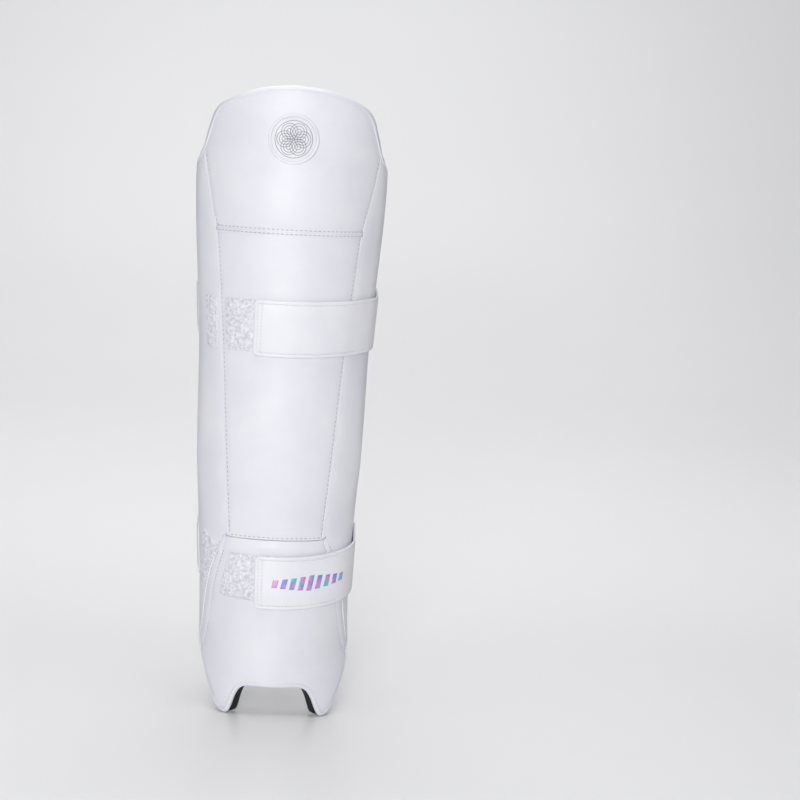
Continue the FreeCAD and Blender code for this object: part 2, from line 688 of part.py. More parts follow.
def check():
    """Stop with the names of any failed objects or unsound sub-parts."""
    failed = [item.Name for item in document.Objects if {"Invalid", "Error"} & set(item.State)]
    if failed:
        raise RuntimeError(f"these objects failed: {failed}")
    for node, sub_part in parts.items():
        if sub_part.Shape.isNull() or not sub_part.Shape.isValid() or not sub_part.Shape.Solids:
            raise RuntimeError(f"{node} has no sound solid")


def write():
    """Write each sub-part to its own STEP file."""
    os.makedirs("parts", exist_ok=True)
    for node, sub_part in parts.items():
        sub_part.Shape.exportStep(f"parts/{node}.step")
        bounds = sub_part.Shape.BoundBox
        print(f"{node}: {len(sub_part.Shape.Solids)} solid, {sub_part.Shape.Volume:.0f} mm3, {bounds}")


build()
check()
write()
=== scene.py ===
"""Looks of a moulded cricket leg pad: sewn leather covers, piping, straps, loop tape, badge and padded lining.

Lengths are in millimetres until a mesh is placed, and +Z runs up the shin with -Y forwards, as in the frame.
"""
import logging
import math
from dataclasses import dataclass, field
from enum import Enum
from typing import Callable

import bmesh
import bpy
import numpy as np
from bmesh.types import BMesh
from bpy.types import Material, Node, NodeSocket, NodeTree, Object
from mathutils import Euler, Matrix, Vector
from mathutils.bvhtree import BVHTree


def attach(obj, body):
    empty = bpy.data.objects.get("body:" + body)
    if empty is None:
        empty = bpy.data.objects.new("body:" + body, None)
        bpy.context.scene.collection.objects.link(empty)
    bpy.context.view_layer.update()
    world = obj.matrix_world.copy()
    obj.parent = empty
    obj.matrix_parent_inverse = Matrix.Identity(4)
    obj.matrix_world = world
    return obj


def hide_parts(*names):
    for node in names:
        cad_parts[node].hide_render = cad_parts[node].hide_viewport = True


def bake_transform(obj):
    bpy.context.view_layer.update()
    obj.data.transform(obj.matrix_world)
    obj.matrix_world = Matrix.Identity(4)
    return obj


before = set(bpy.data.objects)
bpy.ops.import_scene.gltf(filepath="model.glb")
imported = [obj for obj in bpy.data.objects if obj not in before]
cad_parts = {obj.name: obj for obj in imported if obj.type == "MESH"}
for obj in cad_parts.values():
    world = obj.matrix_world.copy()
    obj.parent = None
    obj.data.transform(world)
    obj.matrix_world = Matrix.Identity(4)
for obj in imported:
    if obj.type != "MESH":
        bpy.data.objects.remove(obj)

LOG = logging.getLogger("leg_pad")
MM = 0.001
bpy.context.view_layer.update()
RIGHT, LEFT = 1, -1
Array = np.ndarray
Place = Callable[[Array, Array], Array]


# ---------------------------------------------------------------- the form that every layer follows


def bow(half: Array, rise: Array, corner: Array) -> tuple[Array, ...]:
    """A U's front radius, that arc's half turn, and the lengths of half the front arc and of a corner arc."""
    big = (half**2 - 2 * half * corner + rise**2) / (2 * (rise - corner))
    turn = np.arctan2(half - corner, big - rise)
    return big, turn, big * turn, corner * (math.pi / 2 - turn)


def bowed(reach: Array, depth: Array, half: Array, rise: Array,
          corner: Array) -> tuple[Array, Array]:
    """Points on one side of a U in plan.

    Args:
        reach: Distances round the U from its front middle.
        depth: Depths inside it.
        half: Half width.
        rise: Forward rise.
        corner: Corner radius.

    Returns:
        The points' x, and y from the line where the walls spring, forwards negative.
    """
    big, turn, front, quarter = bow(half, rise, corner)
    on_front, on_wall = reach <= front, reach > front + quarter
    angle = np.where(on_front, reach / big, turn + (reach - front) / corner)
    angle = np.where(on_wall, math.pi / 2, angle)
    radius = np.where(on_front, big, corner) - depth
    x = np.where(on_front, 0, half - corner) + radius * np.sin(angle)
    y = np.where(on_front, big - rise, 0) - radius * np.cos(angle)
    return x, y + np.where(on_wall, reach - front - quarter, 0)


@dataclass(frozen=True)
class Station:
    """One level of the pad: half width, forward rise, corner radius and the foot's sideways swing."""

    level: float
    half: float
    rise: float
    corner: float
    swing: float


@dataclass
class PadForm:
    """The pad's outer face as a surface over (s, z): s runs round the U from its front middle, z up it."""

    stations: tuple[Station, ...] = (
        Station(0, 71.5, 67, 32, 5.4),
        Station(60, 73, 60, 32, 2.8),
        Station(130, 74.2, 56, 33, 0.4),
        Station(200, 77, 56, 34, 0),
        Station(300, 81.5, 59, 35.5, 0),
        Station(400, 85, 62, 36.5, 0),
        Station(460, 89.6, 65, 37, 0),
        Station(520, 92.4, 66, 38, 0),
        Station(610, 92.4, 62, 38, 0),
    )
    setback: float = 13.17
    reach: float = 204.0
    top: float = 612.0
    cell: float = 4.0
    proudest: float = 12.0
    lowest: float = -1.2
    lift: Array | None = None

    def fit(self, nodes: list[Object]) -> None:
        """Measure how far the layers' common outer face stands proud of the plain U, on a grid over (s, z).

        Args:
            nodes: Solids whose outer faces are the pad's outer face.
        """
        graph = bpy.context.evaluated_depsgraph_get()
        trees = [BVHTree.FromObject(node, graph) for node in nodes]
        across = np.arange(-self.reach, self.reach + 1, self.cell)
        up = np.arange(0, self.top + 1, self.cell)
        s, z = (axis.ravel() for axis in np.meshgrid(across, up))
        outside, inside = self.surface(s, z, -self.proudest) * MM, self.surface(s, z, self.cell) * MM
        found = np.full(len(s), np.nan)
        for index, (start, end) in enumerate(zip(outside, inside)):
            origin, run = Vector(start), Vector(end - start)
            hits = [tree.ray_cast(origin, run.normalized(), run.length)[3] for tree in trees]
            hits = [hit for hit in hits if hit is not None]
            if hits:
                found[index] = self.proudest - min(hits) / MM
        found = found.reshape(len(up), len(across))
        found[found < self.lowest] = np.nan
        for _ in range(80):
            padded = np.pad(found, 1, mode="edge")
            around = np.stack([padded[1 + i:padded.shape[0] - 1 + i, 1 + j:padded.shape[1] - 1 + j]
                               for i in (-1, 0, 1) for j in (-1, 0, 1)])
            known = ~np.isnan(around)
            mean = np.where(known, around, 0).sum(0) / np.maximum(known.sum(0), 1)
            found = np.where(np.isnan(found) & known.any(0), mean, found)
        for _ in range(2):
            padded = np.pad(found, 1, mode="edge")
            found = (4 * found + padded[:-2, 1:-1] + padded[2:, 1:-1] + padded[1:-1, :-2] + padded[1:-1, 2:]) / 8
        self.lift = found

    def proud(self, s: Array, z: Array) -> Array:
        """How far the measured face stands proud of the plain U."""
        if self.lift is None:
            return np.zeros(np.broadcast(s, z).shape)
        rows, columns = self.lift.shape
        a = np.clip((np.asarray(s, float) + self.reach) / self.cell, 1, columns - 2.001)
        b = np.clip(np.asarray(z, float) / self.cell, 1, rows - 2.001)
        i, j = b.astype(int), a.astype(int)

        def shares(t: Array) -> list[Array]:
            return [(-t**3 + 2 * t**2 - t) / 2, (3 * t**3 - 5 * t**2 + 2) / 2, (-3 * t**3 + 4 * t**2 + t) / 2,
                    (t**3 - t**2) / 2]

        across, up = shares(a - j), shares(b - i)
        return sum(up[m] * across[n] * self.lift[i + m - 1, j + n - 1] for m in range(4) for n in range(4))

    def section(self, z: Array) -> list[Array]:
        """Sizes of the U at each level, by cubic spans through the stations.

        Args:
            z: Levels.

        Returns:
            Half width, rise, corner radius and swing, each as long as z.
        """
        levels = np.array([station.level for station in self.stations], float)
        z = np.clip(np.asarray(z, float), levels[0] - 40, levels[-1] + 40)
        span = np.clip(np.searchsorted(levels, z, side="right") - 1, 0, len(levels) - 2)
        width = levels[span + 1] - levels[span]
        t = (z - levels[span]) / width
        sizes = []
        for name in ("half", "rise", "corner", "swing"):
            values = np.array([getattr(station, name) for station in self.stations], float)
            slopes = np.gradient(values, levels)
            low, high = values[span], values[span + 1]
            cubic = (
                (2 * t**3 - 3 * t**2 + 1) * low
                + (t**3 - 2 * t**2 + t) * width * slopes[span]
                + (3 * t**2 - 2 * t**3) * high
                + (t**3 - t**2) * width * slopes[span + 1]
            )
            sizes.append(cubic)
        return sizes

    def arcs(self, z: Array) -> tuple[Array, ...]:
        """The U's three arcs at each level: sizes, front radius, its half turn, and both arcs' lengths."""
        half, rise, corner, swing = self.section(z)
        return half, rise, corner, swing, *bow(half, rise, corner)

    def surface(self, s: Array, z: Array, depth: Array | float) -> Array:
        """Points a depth below the outer face, in millimetres.

        Args:
            s: Distances round the U, positive to the right.
            z: Levels.
            depth: Depth below the outer face; negative stands proud.

        Returns:
            One row of x, y and z for each point.
        """
        half, rise, corner, swing = self.section(z)
        x, y = bowed(np.abs(s), depth - self.proud(s, z), half, rise, corner)
        return np.stack([swing + np.where(np.asarray(s) < 0, -x, x), y - self.setback, np.asarray(z, float)], -1)

    def locate(self, points: Array) -> tuple[Array, Array, Array]:
        """The (s, z, depth) of points in millimetres."""
        z = points[:, 2]
        half, rise, corner, swing, big, turn, front, quarter = self.arcs(z)
        across = points[:, 0] - swing
        x, y = np.abs(across), points[:, 1] + self.setback
        corner_angle = np.arctan2(x - (half - corner), -y)
        front_angle = np.arctan2(x, big - rise - y)
        on_wall, on_front = y > 0, (front_angle < turn) & (y <= 0)
        s = np.where(on_front, front_angle * big, front + (corner_angle - turn) * corner)
        depth = np.where(on_front, big - np.hypot(x, big - rise - y), corner - np.hypot(x - (half - corner), y))
        s = np.where(on_wall, front + quarter + y, s)
        depth = np.where(on_wall, half - x, depth)
        s = np.where(across < 0, -s, s)
        return s, z, depth + self.proud(s, z)

    def face(self, x: float, z: float) -> tuple[float, float]:
        """The (s, z) of a spot that shows at x from in front."""
        half, _, corner, swing, big, turn, front, _ = (float(size) for size in self.arcs(np.array(z)))
        across = abs(x - swing)
        if across <= big * math.sin(turn):
            s = big * math.asin(across / big)
        else:
            s = front + corner * (math.asin(min(1.0, (across - half + corner) / corner)) - turn)
        return math.copysign(s, x - swing), z

    def foot(self, x: float, z: float) -> tuple[float, float]:
        """The (s, z) of a spot given from the middle of the U at its own level."""
        return self.face(x + float(self.section(np.array(z))[3]), z)

    def wall(self, y: float, z: float, side: int) -> tuple[float, float]:
        """The (s, z) of a spot on a side wall, y behind the spring line, or on its corner arc where y < 0."""
        corner, turn, front, quarter = (float(self.arcs(np.array(z))[index]) for index in (2, 5, 6, 7))
        s = front + quarter + y if y >= 0 else front + corner * (math.acos(min(1.0, -y / corner)) - turn)
        return side * s, z


FORM = PadForm()
FORM.fit([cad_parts[name] for name in (
    "edge_binding", "knee_cover", "shin_cover", "instep_cover", "left_wing_cover", "right_wing_cover", "left_gusset",
    "right_gusset")])


def smooth(points: list[tuple[float, float]], step: float = 1.5) -> Array:
    """A smooth line through plane points, by centripetal Catmull-Rom spans.

    Args:
        points: The points that it passes through.
        step: Rough spacing of the result.

    Returns:
        One row for each point of the line.
    """
    given = np.array(points, float)
    ends = np.vstack([2 * given[0] - given[1], given, 2 * given[-1] - given[-2]])
    line = []
    for a, b, c, d in zip(ends, ends[1:], ends[2:], ends[3:]):
        gaps = [max(np.linalg.norm(q - p) ** 0.5, 1e-6) for p, q in ((a, b), (b, c), (c, d))]
        t0, t1, t2, t3 = np.cumsum([0.0, *gaps])
        count = max(2, int(np.linalg.norm(c - b) / step))
        t = np.linspace(t1, t2, count, endpoint=False)[:, None]
        ab = (t1 - t) / (t1 - t0) * a + (t - t0) / (t1 - t0) * b
        bc = (t2 - t) / (t2 - t1) * b + (t - t1) / (t2 - t1) * c
        cd = (t3 - t) / (t3 - t2) * c + (t - t2) / (t3 - t2) * d
        abc = (t2 - t) / (t2 - t0) * ab + (t - t0) / (t2 - t0) * bc
        bcd = (t3 - t) / (t3 - t1) * bc + (t - t1) / (t3 - t1) * cd
        line.append((t2 - t) / (t2 - t1) * abc + (t - t1) / (t2 - t1) * bcd)
    return np.vstack([*line, given[-1:]])


def lengths(line: Array) -> Array:
    """Distance of each point along its line."""
    return np.concatenate([[0.0], np.cumsum(np.linalg.norm(np.diff(line, axis=0), axis=1))])


def along(line: Array, share: Array) -> Array:
    """Points at shares from 0 to 1 of a line's length."""
    run = lengths(line)
    return np.stack([np.interp(share * run[-1], run, line[:, axis]) for axis in range(line.shape[1])], -1)


def beside(line: Array, closed: bool = False) -> Array:
    """Unit directions to the left of a plane line, at each of its points."""
    direction = np.gradient(line, axis=0)
    if closed:
        direction[0] = direction[-1] = direction[0] + direction[-1]
    direction /= np.maximum(np.linalg.norm(direction, axis=1, keepdims=True), 1e-9)
    return np.stack([-direction[:, 1], direction[:, 0]], -1)


def shifted(line: Array, distance: float) -> Array:
    """The same plane line moved to its left by a distance."""
    return line + distance * beside(line)


def part_of(line: Array, start: Array, end: Array) -> Array:
    """The stretch of a line between the points of it that are nearest to start and end."""
    first = int(np.argmin(np.linalg.norm(line - start, axis=1)))
    last = int(np.argmin(np.linalg.norm(line - end, axis=1)))
    return line[first:last + 1] if first <= last else line[last:first + 1][::-1]


def level_line(start: float, end: float, level: float, count: int = 80) -> Array:
    """A line over (s, z) that keeps to one level."""
    return np.stack([np.linspace(start, end, count), np.full(count, level)], -1)


def ridge(x: Array, middle: float, width: float) -> Array:
    """A smooth ridge of height 1 at middle."""
    return np.exp(-((x - middle) / width) ** 2)


def nearest(points: Array, line: Array) -> Array:
    """Distance from each plane point to a line."""
    best = np.full(len(points), np.inf)
    for start, end in zip(line[:-1], line[1:]):
        run = end - start
        share = np.clip((points - start) @ run / max(run @ run, 1e-12), 0, 1)
        gap = np.linalg.norm(points - start - share[:, None] * run, axis=1)
        np.minimum(best, gap, out=best)
    return best


# ---------------------------------------------------------------- finishes


def linear(hex_colour: str) -> tuple[float, float, float, float]:
    """An sRGB hex colour as linear red, green, blue and alpha."""
    channels = [int(hex_colour[start:start + 2], 16) / 255 for start in (1, 3, 5)]
    return (*[c / 12.92 if c <= 0.04045 else ((c + 0.055) / 1.055) ** 2.4 for c in channels], 1.0)


def add_node(tree: NodeTree, kind: str, inputs: dict | None = None, **settings: object) -> Node:
    """Add one node to a tree.

    Args:
        tree: The node tree.
        kind: The node's type name.
        inputs: A value, or an output socket to link, for each input.
        settings: Properties of the node.

    Returns:
        The new node.
    """
    node = tree.nodes.new(kind)
    for name, value in settings.items():
        setattr(node, name, value)
    for socket, value in (inputs or {}).items():
        if isinstance(value, NodeSocket):
            tree.links.new(value, node.inputs[socket])
        else:
            node.inputs[socket].default_value = value
    return node


def noise(tree: NodeTree, place: NodeSocket, size: float, detail: float) -> NodeSocket:
    """Soft noise whose features have a size in millimetres."""
    return add_node(tree, "ShaderNodeTexNoise", {
        "Vector": place, "Scale": 1000 / size, "Detail": detail}).outputs["Fac"]


def ranged(tree: NodeTree, value: NodeSocket, **ends: float) -> NodeSocket:
    """A value mapped from one range to another; ends are named From_Min and so on."""
    inputs = {name.replace("_", " "): end for name, end in ends.items()}
    return add_node(tree, "ShaderNodeMapRange", {"Value": value, **inputs}).outputs["Result"]


def blended(tree: NodeTree, share: NodeSocket, first: object, second: object) -> object:
    """Two colours mixed by a share."""
    return add_node(tree, "ShaderNodeMix", {"Factor": share, "A": first, "B": second},
                    data_type="RGBA").outputs["Result"]


@dataclass(frozen=True)
class Finish:
    """A sheet or moulding with two close colours, a mottle, and a fine and a coarse relief."""

    name: str
    colour: str
    shade: str
    roughness: float
    mottle: float = 40.0
    grain: float = 1.0
    relief: float = 0.05
    hammer: float = 0.0
    sheen: float = 0.0
    ior: float = 1.5
    metallic: float = 0.0
    contrast: float = 0.3

    def material(self) -> Material:
        """The finish as a material, made once."""
        made = bpy.data.materials.get(self.name)
        if made:
            return made
        made = bpy.data.materials.new(self.name)
        made.use_nodes = True
        tree = made.node_tree
        shader = tree.nodes["Principled BSDF"]
        place = add_node(tree, "ShaderNodeTexCoord").outputs["Object"]
        self.colouring(tree, shader, place)
        height = self.height(tree, place)
        bump = add_node(tree, "ShaderNodeBump", {"Height": height, "Strength": 1.0, "Distance": self.relief * MM})
        tree.links.new(bump.outputs["Normal"], shader.inputs["Normal"])
        for socket, value in (("IOR", self.ior), ("Metallic", self.metallic), ("Sheen Weight", self.sheen),
                              ("Sheen Roughness", 0.5)):
            shader.inputs[socket].default_value = value
        return made

    def colouring(self, tree: NodeTree, shader: Node, place: NodeSocket) -> None:
        """Blend the two colours, and the roughness with them, in soft clouds."""
        cloud = noise(tree, place, self.mottle, 4.0)
        share = ranged(tree, cloud, From_Min=0.5 - self.contrast / 2, From_Max=0.5 + self.contrast / 2)
        mix = blended(tree, share, linear(self.colour), linear(self.shade))
        tree.links.new(mix, shader.inputs["Base Color"])
        gloss = ranged(tree, cloud, To_Min=self.roughness - 0.05, To_Max=self.roughness + 0.05)
        tree.links.new(gloss, shader.inputs["Roughness"])

    def height(self, tree: NodeTree, place: NodeSocket) -> NodeSocket:
        """Relief of the surface, from 0 to 1."""
        return noise(tree, place, self.grain, 3.0)


@dataclass(frozen=True)
class Leather(Finish):
    """Polyurethane leather: rolled pebble grain, so cells with soft valleys between them."""

    def height(self, tree: NodeTree, place: NodeSocket) -> NodeSocket:
        """Pebbles of the grain's size over a slow unevenness of the padding."""
        cells = add_node(tree, "ShaderNodeTexVoronoi", {"Vector": place, "Scale": 1000 / self.grain},
                         feature="SMOOTH_F1")
        return add_node(tree, "ShaderNodeMath", {
            0: noise(tree, place, self.mottle, 2.0), 1: self.hammer, 2: cells.outputs["Distance"]},
            operation="MULTIPLY_ADD").outputs["Value"]


@dataclass(frozen=True)
class Woven(Finish):
    """Woven or knitted goods: ribs and cross threads at the grain's spacing."""

    def height(self, tree: NodeTree, place: NodeSocket) -> NodeSocket:
        """Crossing threads, from two waves, broken up by fibres."""
        waves = [
            add_node(tree, "ShaderNodeTexWave", {
                "Vector": place, "Scale": 1000 / self.grain / 6.28, "Distortion": 1.5, "Detail": 2.0,
                "Detail Scale": 2.0}, bands_direction=direction).outputs["Fac"]
            for direction in ("X", "Z")
        ]
        cross = add_node(tree, "ShaderNodeMath", {0: waves[0], 1: waves[1]}, operation="MULTIPLY").outputs["Value"]
        fibre = noise(tree, place, self.grain / 2, 4.0)
        return add_node(tree, "ShaderNodeMath", {0: cross, 1: fibre}, operation="ADD").outputs["Value"]


@dataclass(frozen=True)
class Iridescent(Finish):
    """Transfer print whose colour drifts through cyan, violet and pink along its length."""

    accent: str = "#E79AD9"

    def colouring(self, tree: NodeTree, shader: Node, place: NodeSocket) -> None:
        """Two drifting clouds choose between three colours."""
        colour = linear(self.colour)
        for size, other in ((self.mottle, self.shade), (self.mottle * 0.6, self.accent)):
            share = ranged(tree, noise(tree, place, size, 1.0), From_Min=0.42, From_Max=0.58)
            colour = blended(tree, share, colour, linear(other))
        tree.links.new(colour, shader.inputs["Base Color"])
        shader.inputs["Roughness"].default_value = self.roughness


# Sewn covers: polyurethane leather with a fine rolled grain, which gives wide soft highlights.
COVER = Leather("matt_white_leather", "#EFEFF5", "#E8E8F1", 0.46, grain=0.9, relief=0.03, hammer=6.0, mottle=60)
# Strap facing: the same leather, calendered smoother and a little whiter.
STRAP = Leather("strap_leather", "#F2F2F7", "#ECECF3", 0.42, grain=0.8, relief=0.02, hammer=3.0, mottle=50)
# Bound edge: thin leather strip pulled tight, so a little glossier.
EDGE = Leather("binding_leather", "#EDEDF4", "#E6E6EF", 0.44, grain=0.8, relief=0.02, hammer=2.0, mottle=50)
# Polyester thread, coloured darker grey than the real thread as painted shade for the shadows in and around its stitch
# holes; tight twist, matt.
SHADED_THREAD = Finish("polyester_thread_painted_shade", "#C2C2CE", "#B4B4C2", 0.7, mottle=6, grain=0.5, relief=0.1)
# The same thread in white, with no painted shade, on the straps and the bound edge.
WHITE_THREAD = Finish("white_thread", "#DEDEE6", "#D2D2DC", 0.7, mottle=6, grain=0.5, relief=0.1)
# Brushed loop tape: a fuzzy pile that mats into pale and dull tufts a few millimetres wide.
LOOP = Finish("brushed_loop_pile", "#FAFAFE", "#CFCFDD", 0.95, mottle=3.0, grain=0.8, relief=0.4, sheen=0.3,
              contrast=0.36)
# Moulded hook tape: nylon, semi-matt.
HOOK = Finish("moulded_nylon_hooks", "#DCDCE2", "#CFCFD6", 0.6, mottle=2.0, grain=1.4, relief=0.5)
# Elastic webbing: covered rubber threads, so ribbed and matt.
ELASTIC = Woven("ribbed_elastic_webbing", "#E6E6EC", "#DADAE2", 0.85, grain=1.1, relief=0.12, sheen=0.2, mottle=9)
# Lining: brushed polyester knit, near black with a blue cast, and a fuzz that catches the light at its edges.
LINING = Woven("brushed_black_knit", "#0E0F1B", "#090A12", 0.9, grain=1.2, relief=0.25, sheen=0.05, mottle=15)
# Badge: silicone rubber, moulded against a satin tool.
RUBBER = Finish("satin_moulded_rubber", "#EEEEF3", "#E8E8EF", 0.5, mottle=18, grain=0.35, relief=0.01)
# Ink in the badge's grooves: matt grey.
INK = Finish("grey_groove_ink", "#8E8F99", "#A2A3AD", 0.6, mottle=8, grain=0.4, relief=0.02)
# Impact foam: cut closed-cell polyethylene, a skin of small cells.
FOAM = Finish("closed_cell_foam", "#D9DBDD", "#C9CCCF", 0.9, mottle=7, grain=1.0, relief=0.2)
# Core: natural polyethylene, waxy and slightly yellow.
CORE = Finish("natural_polyethylene", "#E4E4DF", "#D9D9D2", 0.4, mottle=35, grain=2.5, relief=0.03)
# Transfer print: thin metallised film.
PRINT = Iridescent("iridescent_film", "#5FD0E0", "#9A9BE6", 0.35, mottle=9, grain=0.6, relief=0.01, metallic=0.35)


# ---------------------------------------------------------------- mesh helpers


def grid(columns: int, rows: int) -> BMesh:
    """A flat grid over the unit square."""
    bm = bmesh.new()
    bmesh.ops.create_grid(bm, x_segments=columns, y_segments=rows, size=0.5)
    bmesh.ops.translate(bm, verts=bm.verts, vec=(0.5, 0.5, 0))
    return bm


def place(bm: BMesh, where: Place) -> None:
    """Move a unit grid's points to where(u, v), given in millimetres."""
    flat = np.array([vert.co[:2] for vert in bm.verts])
    for vert, spot in zip(bm.verts, where(flat[:, 0], flat[:, 1]) * MM):
        vert.co = spot


def finished(bm: BMesh, name: str, finish: Finish, outward: bool = True) -> Object:
    """Turn a bmesh into a smooth-shaded piece with its finish.

    Args:
        bm: The mesh, which is freed.
        name: The piece's name.
        finish: Its finish.
        outward: Whether the faces of a closed mesh are turned outwards.

    Returns:
        The piece, at the origin.
    """
    if outward:
        bmesh.ops.recalc_face_normals(bm, faces=bm.faces)
    mesh = bpy.data.meshes.new(name)
    bm.to_mesh(mesh)
    bm.free()
    mesh.shade_smooth()
    mesh.materials.append(finish.material())
    piece = bpy.data.objects.new(name, mesh)
    bpy.context.scene.collection.objects.link(piece)
    return piece


def report(piece: Object, slot: str, *nodes: str, body: str | None = "pad") -> None:
    """Attach a piece to its body, hide the nodes that it stands for, and log its face count.

    Args:
        piece: The finished piece.
        slot: Not used.
        nodes: The nodes that it stands for.
        body: The body that it rides on; None leaves it unattached.
    """
    if body:
        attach(piece, body)
    if nodes:
        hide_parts(*nodes)
    LOG.info("%s: %d faces", piece.name, len(piece.data.polygons))


def thicken(piece: Object, thickness: float) -> None:
    """Give a sheet its thickness, behind its face."""
    wall = piece.modifiers.new("thickness", "SOLIDIFY")
    wall.thickness = thickness * MM
    wall.offset = -1


def close(bm: BMesh, merge: float = 1e-6, ends: bool = True) -> BMesh:
    """Join a rolled-up grid's doubled points, and fill its open ends."""
    bmesh.ops.remove_doubles(bm, verts=bm.verts, dist=merge)
    if ends:
        bmesh.ops.holes_fill(bm, edges=[edge for edge in bm.edges if edge.is_boundary], sides=0)
    return bm


def joined(parts: list[BMesh]) -> BMesh:
    """One mesh of several, which are freed."""
    whole, holder = bmesh.new(), bpy.data.meshes.new("holder")
    for part in parts:
        part.to_mesh(holder)
        part.free()
        whole.from_mesh(holder)
    bpy.data.meshes.remove(holder)
    return whole


def dress(node: Object, finish: Finish) -> None:
    """Give a node that stays as it is its finish."""
    node.data.materials.clear()
    node.data.materials.append(finish.material())


def tube(profile: Array, rows: int, where: Callable[[Array, Array, Array], Array],
         closed: bool = False) -> BMesh:
    """Sweep a closed profile.

    Args:
        profile: The profile's plane points, in order, not repeating the first.
        rows: Number of steps along the sweep.
        where: Gives points from the two profile coordinates and the share along the sweep.
        closed: Whether the sweep joins up with its own start; if not, both ends are capped.

    Returns:
        The closed mesh.
    """
    ring = np.vstack([profile, profile[:1]])
    bm = grid(len(profile), rows)

    def sweep(u: Array, v: Array) -> Array:
        index = np.rint(u * len(profile)).astype(int)
        return where(ring[index, 0], ring[index, 1], v)

    place(bm, sweep)
    return close(bm, ends=not closed)


@dataclass
class Thread:
    """Runs of separate stitches, each a small capsule laid in the leather."""

    length: float = 2.9
    gap: float = 1.5
    width: float = 0.75
    # By default the stitches take the thread whose grey is painted shade for the stitch holes.
    finish: Finish = SHADED_THREAD

    def sew(self, name: str, lines: list[Array], body: str, where: Place | None = None) -> None:
        """Sew along lines.

        Args:
            name: The piece's name.
            lines: Lines in the plane that where() maps, or rows of x, y and z if it isn't given.
            body: The body that the stitches ride on.
            where: Maps plane points to space at the height that the thread lies at.
        """
        stitches = bmesh.new()
        for line in lines:
            points = where(line[:, 0], line[:, 1]) if where else line
            run = lengths(points)
            count = max(1, int(run[-1] / (self.length + self.gap)))
            pitch = run[-1] / count
            for index in range(count):
                centre = (index + 0.5) * pitch
                share = np.array([centre - self.length / 2, centre, centre + self.length / 2]) / run[-1]
                start, middle, end = along(points, share)
                self.stitch(stitches, Vector(start), Vector(middle), Vector(end))
        report(finished(stitches, name, self.finish), "white_cover", body=body)

    def stitch(self, stitches: BMesh, start: Vector, middle: Vector, end: Vector) -> None:
        """Add one stitch between two points."""
        made = bmesh.ops.create_uvsphere(stitches, u_segments=6, v_segments=4, radius=0.5)
        turn = (end - start).to_track_quat("Z", "Y").to_matrix().to_4x4()
        bmesh.ops.scale(stitches, verts=made["verts"], vec=(self.width, self.width, (end - start).length))
        bmesh.ops.transform(stitches, verts=made["verts"], matrix=turn)
        bmesh.ops.translate(stitches, verts=made["verts"], vec=middle)
        bmesh.ops.scale(stitches, verts=made["verts"], vec=(MM, MM, MM))


# ---------------------------------------------------------------- seams and outlines


class EdgeKind(Enum):
    """How a cover's edge is worked: roll radius, hollow beside it and that hollow's width."""

    SEAM = (1.5, 0.4, 4.5)
    LAP = (0.9, 0.75, 9.0)
    HEM = (0.5, 0.6, 6.0)


@dataclass
class PadLines:
    """Seams and rim of the pad as lines over (s, z)."""

    ankle: float = 173.5
    knee: float = 472.0
    rim_width: float = 3.0
    crown: tuple = ((0, 610), (28, 607.1), (50, 600.7), (64.3, 594.3), (72.7, 588), (77.9, 579.2), (82, 565.5),
                    (88, 545))
    rear: tuple = ((2, 530.5), (12, 524), (30, 508), (46, 492), (54.5, 481), (57.6, 468), (60.3, 430), (60.7, 395),
                   (58.5, 325), (56, 250), (52.4, 200), (46.5, 148), (34, 100), (26, 78), (9, 62), (-8, 49))
    ear: tuple = ((69.3, 39), (65.8, 26), (61.4, 13.5), (56.3, 4), (50.2, 0.2), (45.4, 1.6), (42.3, 7), (37, 20.5),
                  (32.8, 26.8), (26.8, 29.8))
    arch: float = 30.0

    def seam(self, side: int, low: float, high: float) -> Array:
        """The wing seam from one level up to another; it bends outwards above the shin."""
        levels = np.linspace(low, high, 140)
        bend, softness = levels - 464, 25.0
        x = 47.3 + 0.0733 * (levels - self.ankle) + 0.0723 * (bend + np.hypot(bend, softness) - softness * 0.55)
        return np.array([FORM.face(side * across, level) for across, level in zip(x, levels)])

    def ends(self, z: float) -> tuple[float, float]:
        """Where the two wing seams pass a level."""
        return tuple(self.seam(side, z - 1, z + 1)[70, 0] for side in (LEFT, RIGHT))

    def rim(self, side: int) -> Array:
        """Half of the rim: from the top of the crown, down the rear edge and the ear, to the arch's middle."""
        spots = [FORM.face(side * x, z) for x, z in self.crown]
        spots += [FORM.wall(y, z, side) for y, z in self.rear]
        spots += [FORM.foot(side * x, z) for x, z in self.ear]
        spots.append(FORM.foot(0, self.arch))
        return smooth(spots)

    def inner_rim(self, side: int, width: float | None = None) -> Array:
        """The same half, moved in by the binding's width or by one that is given."""
        moved = shifted(self.rim(side), -side * (self.rim_width if width is None else width))
        moved[0, 0] = 0
        moved[-1, 0] = FORM.foot(0, self.arch)[0]
        return moved

    def fold(self, side: int, beyond: float) -> Array:
        """An ankle gusset's edge: 0 is the instep's, 1 the wing's."""
        top = FORM.face(side * (47.3 + 1.6 * beyond), self.ankle + 2.5 * beyond)
        spots = [top] + [FORM.foot(side * (x + wide * beyond), z)
                         for x, z, wide in ((53.6, 144, 5.2), (59.6, 112, 6.6), (65.4, 82, 5.6))]
        spots.append(FORM.wall(-9 + 13 * beyond, 49 + 9 * beyond, side))
        return smooth(spots)


LINES = PadLines()


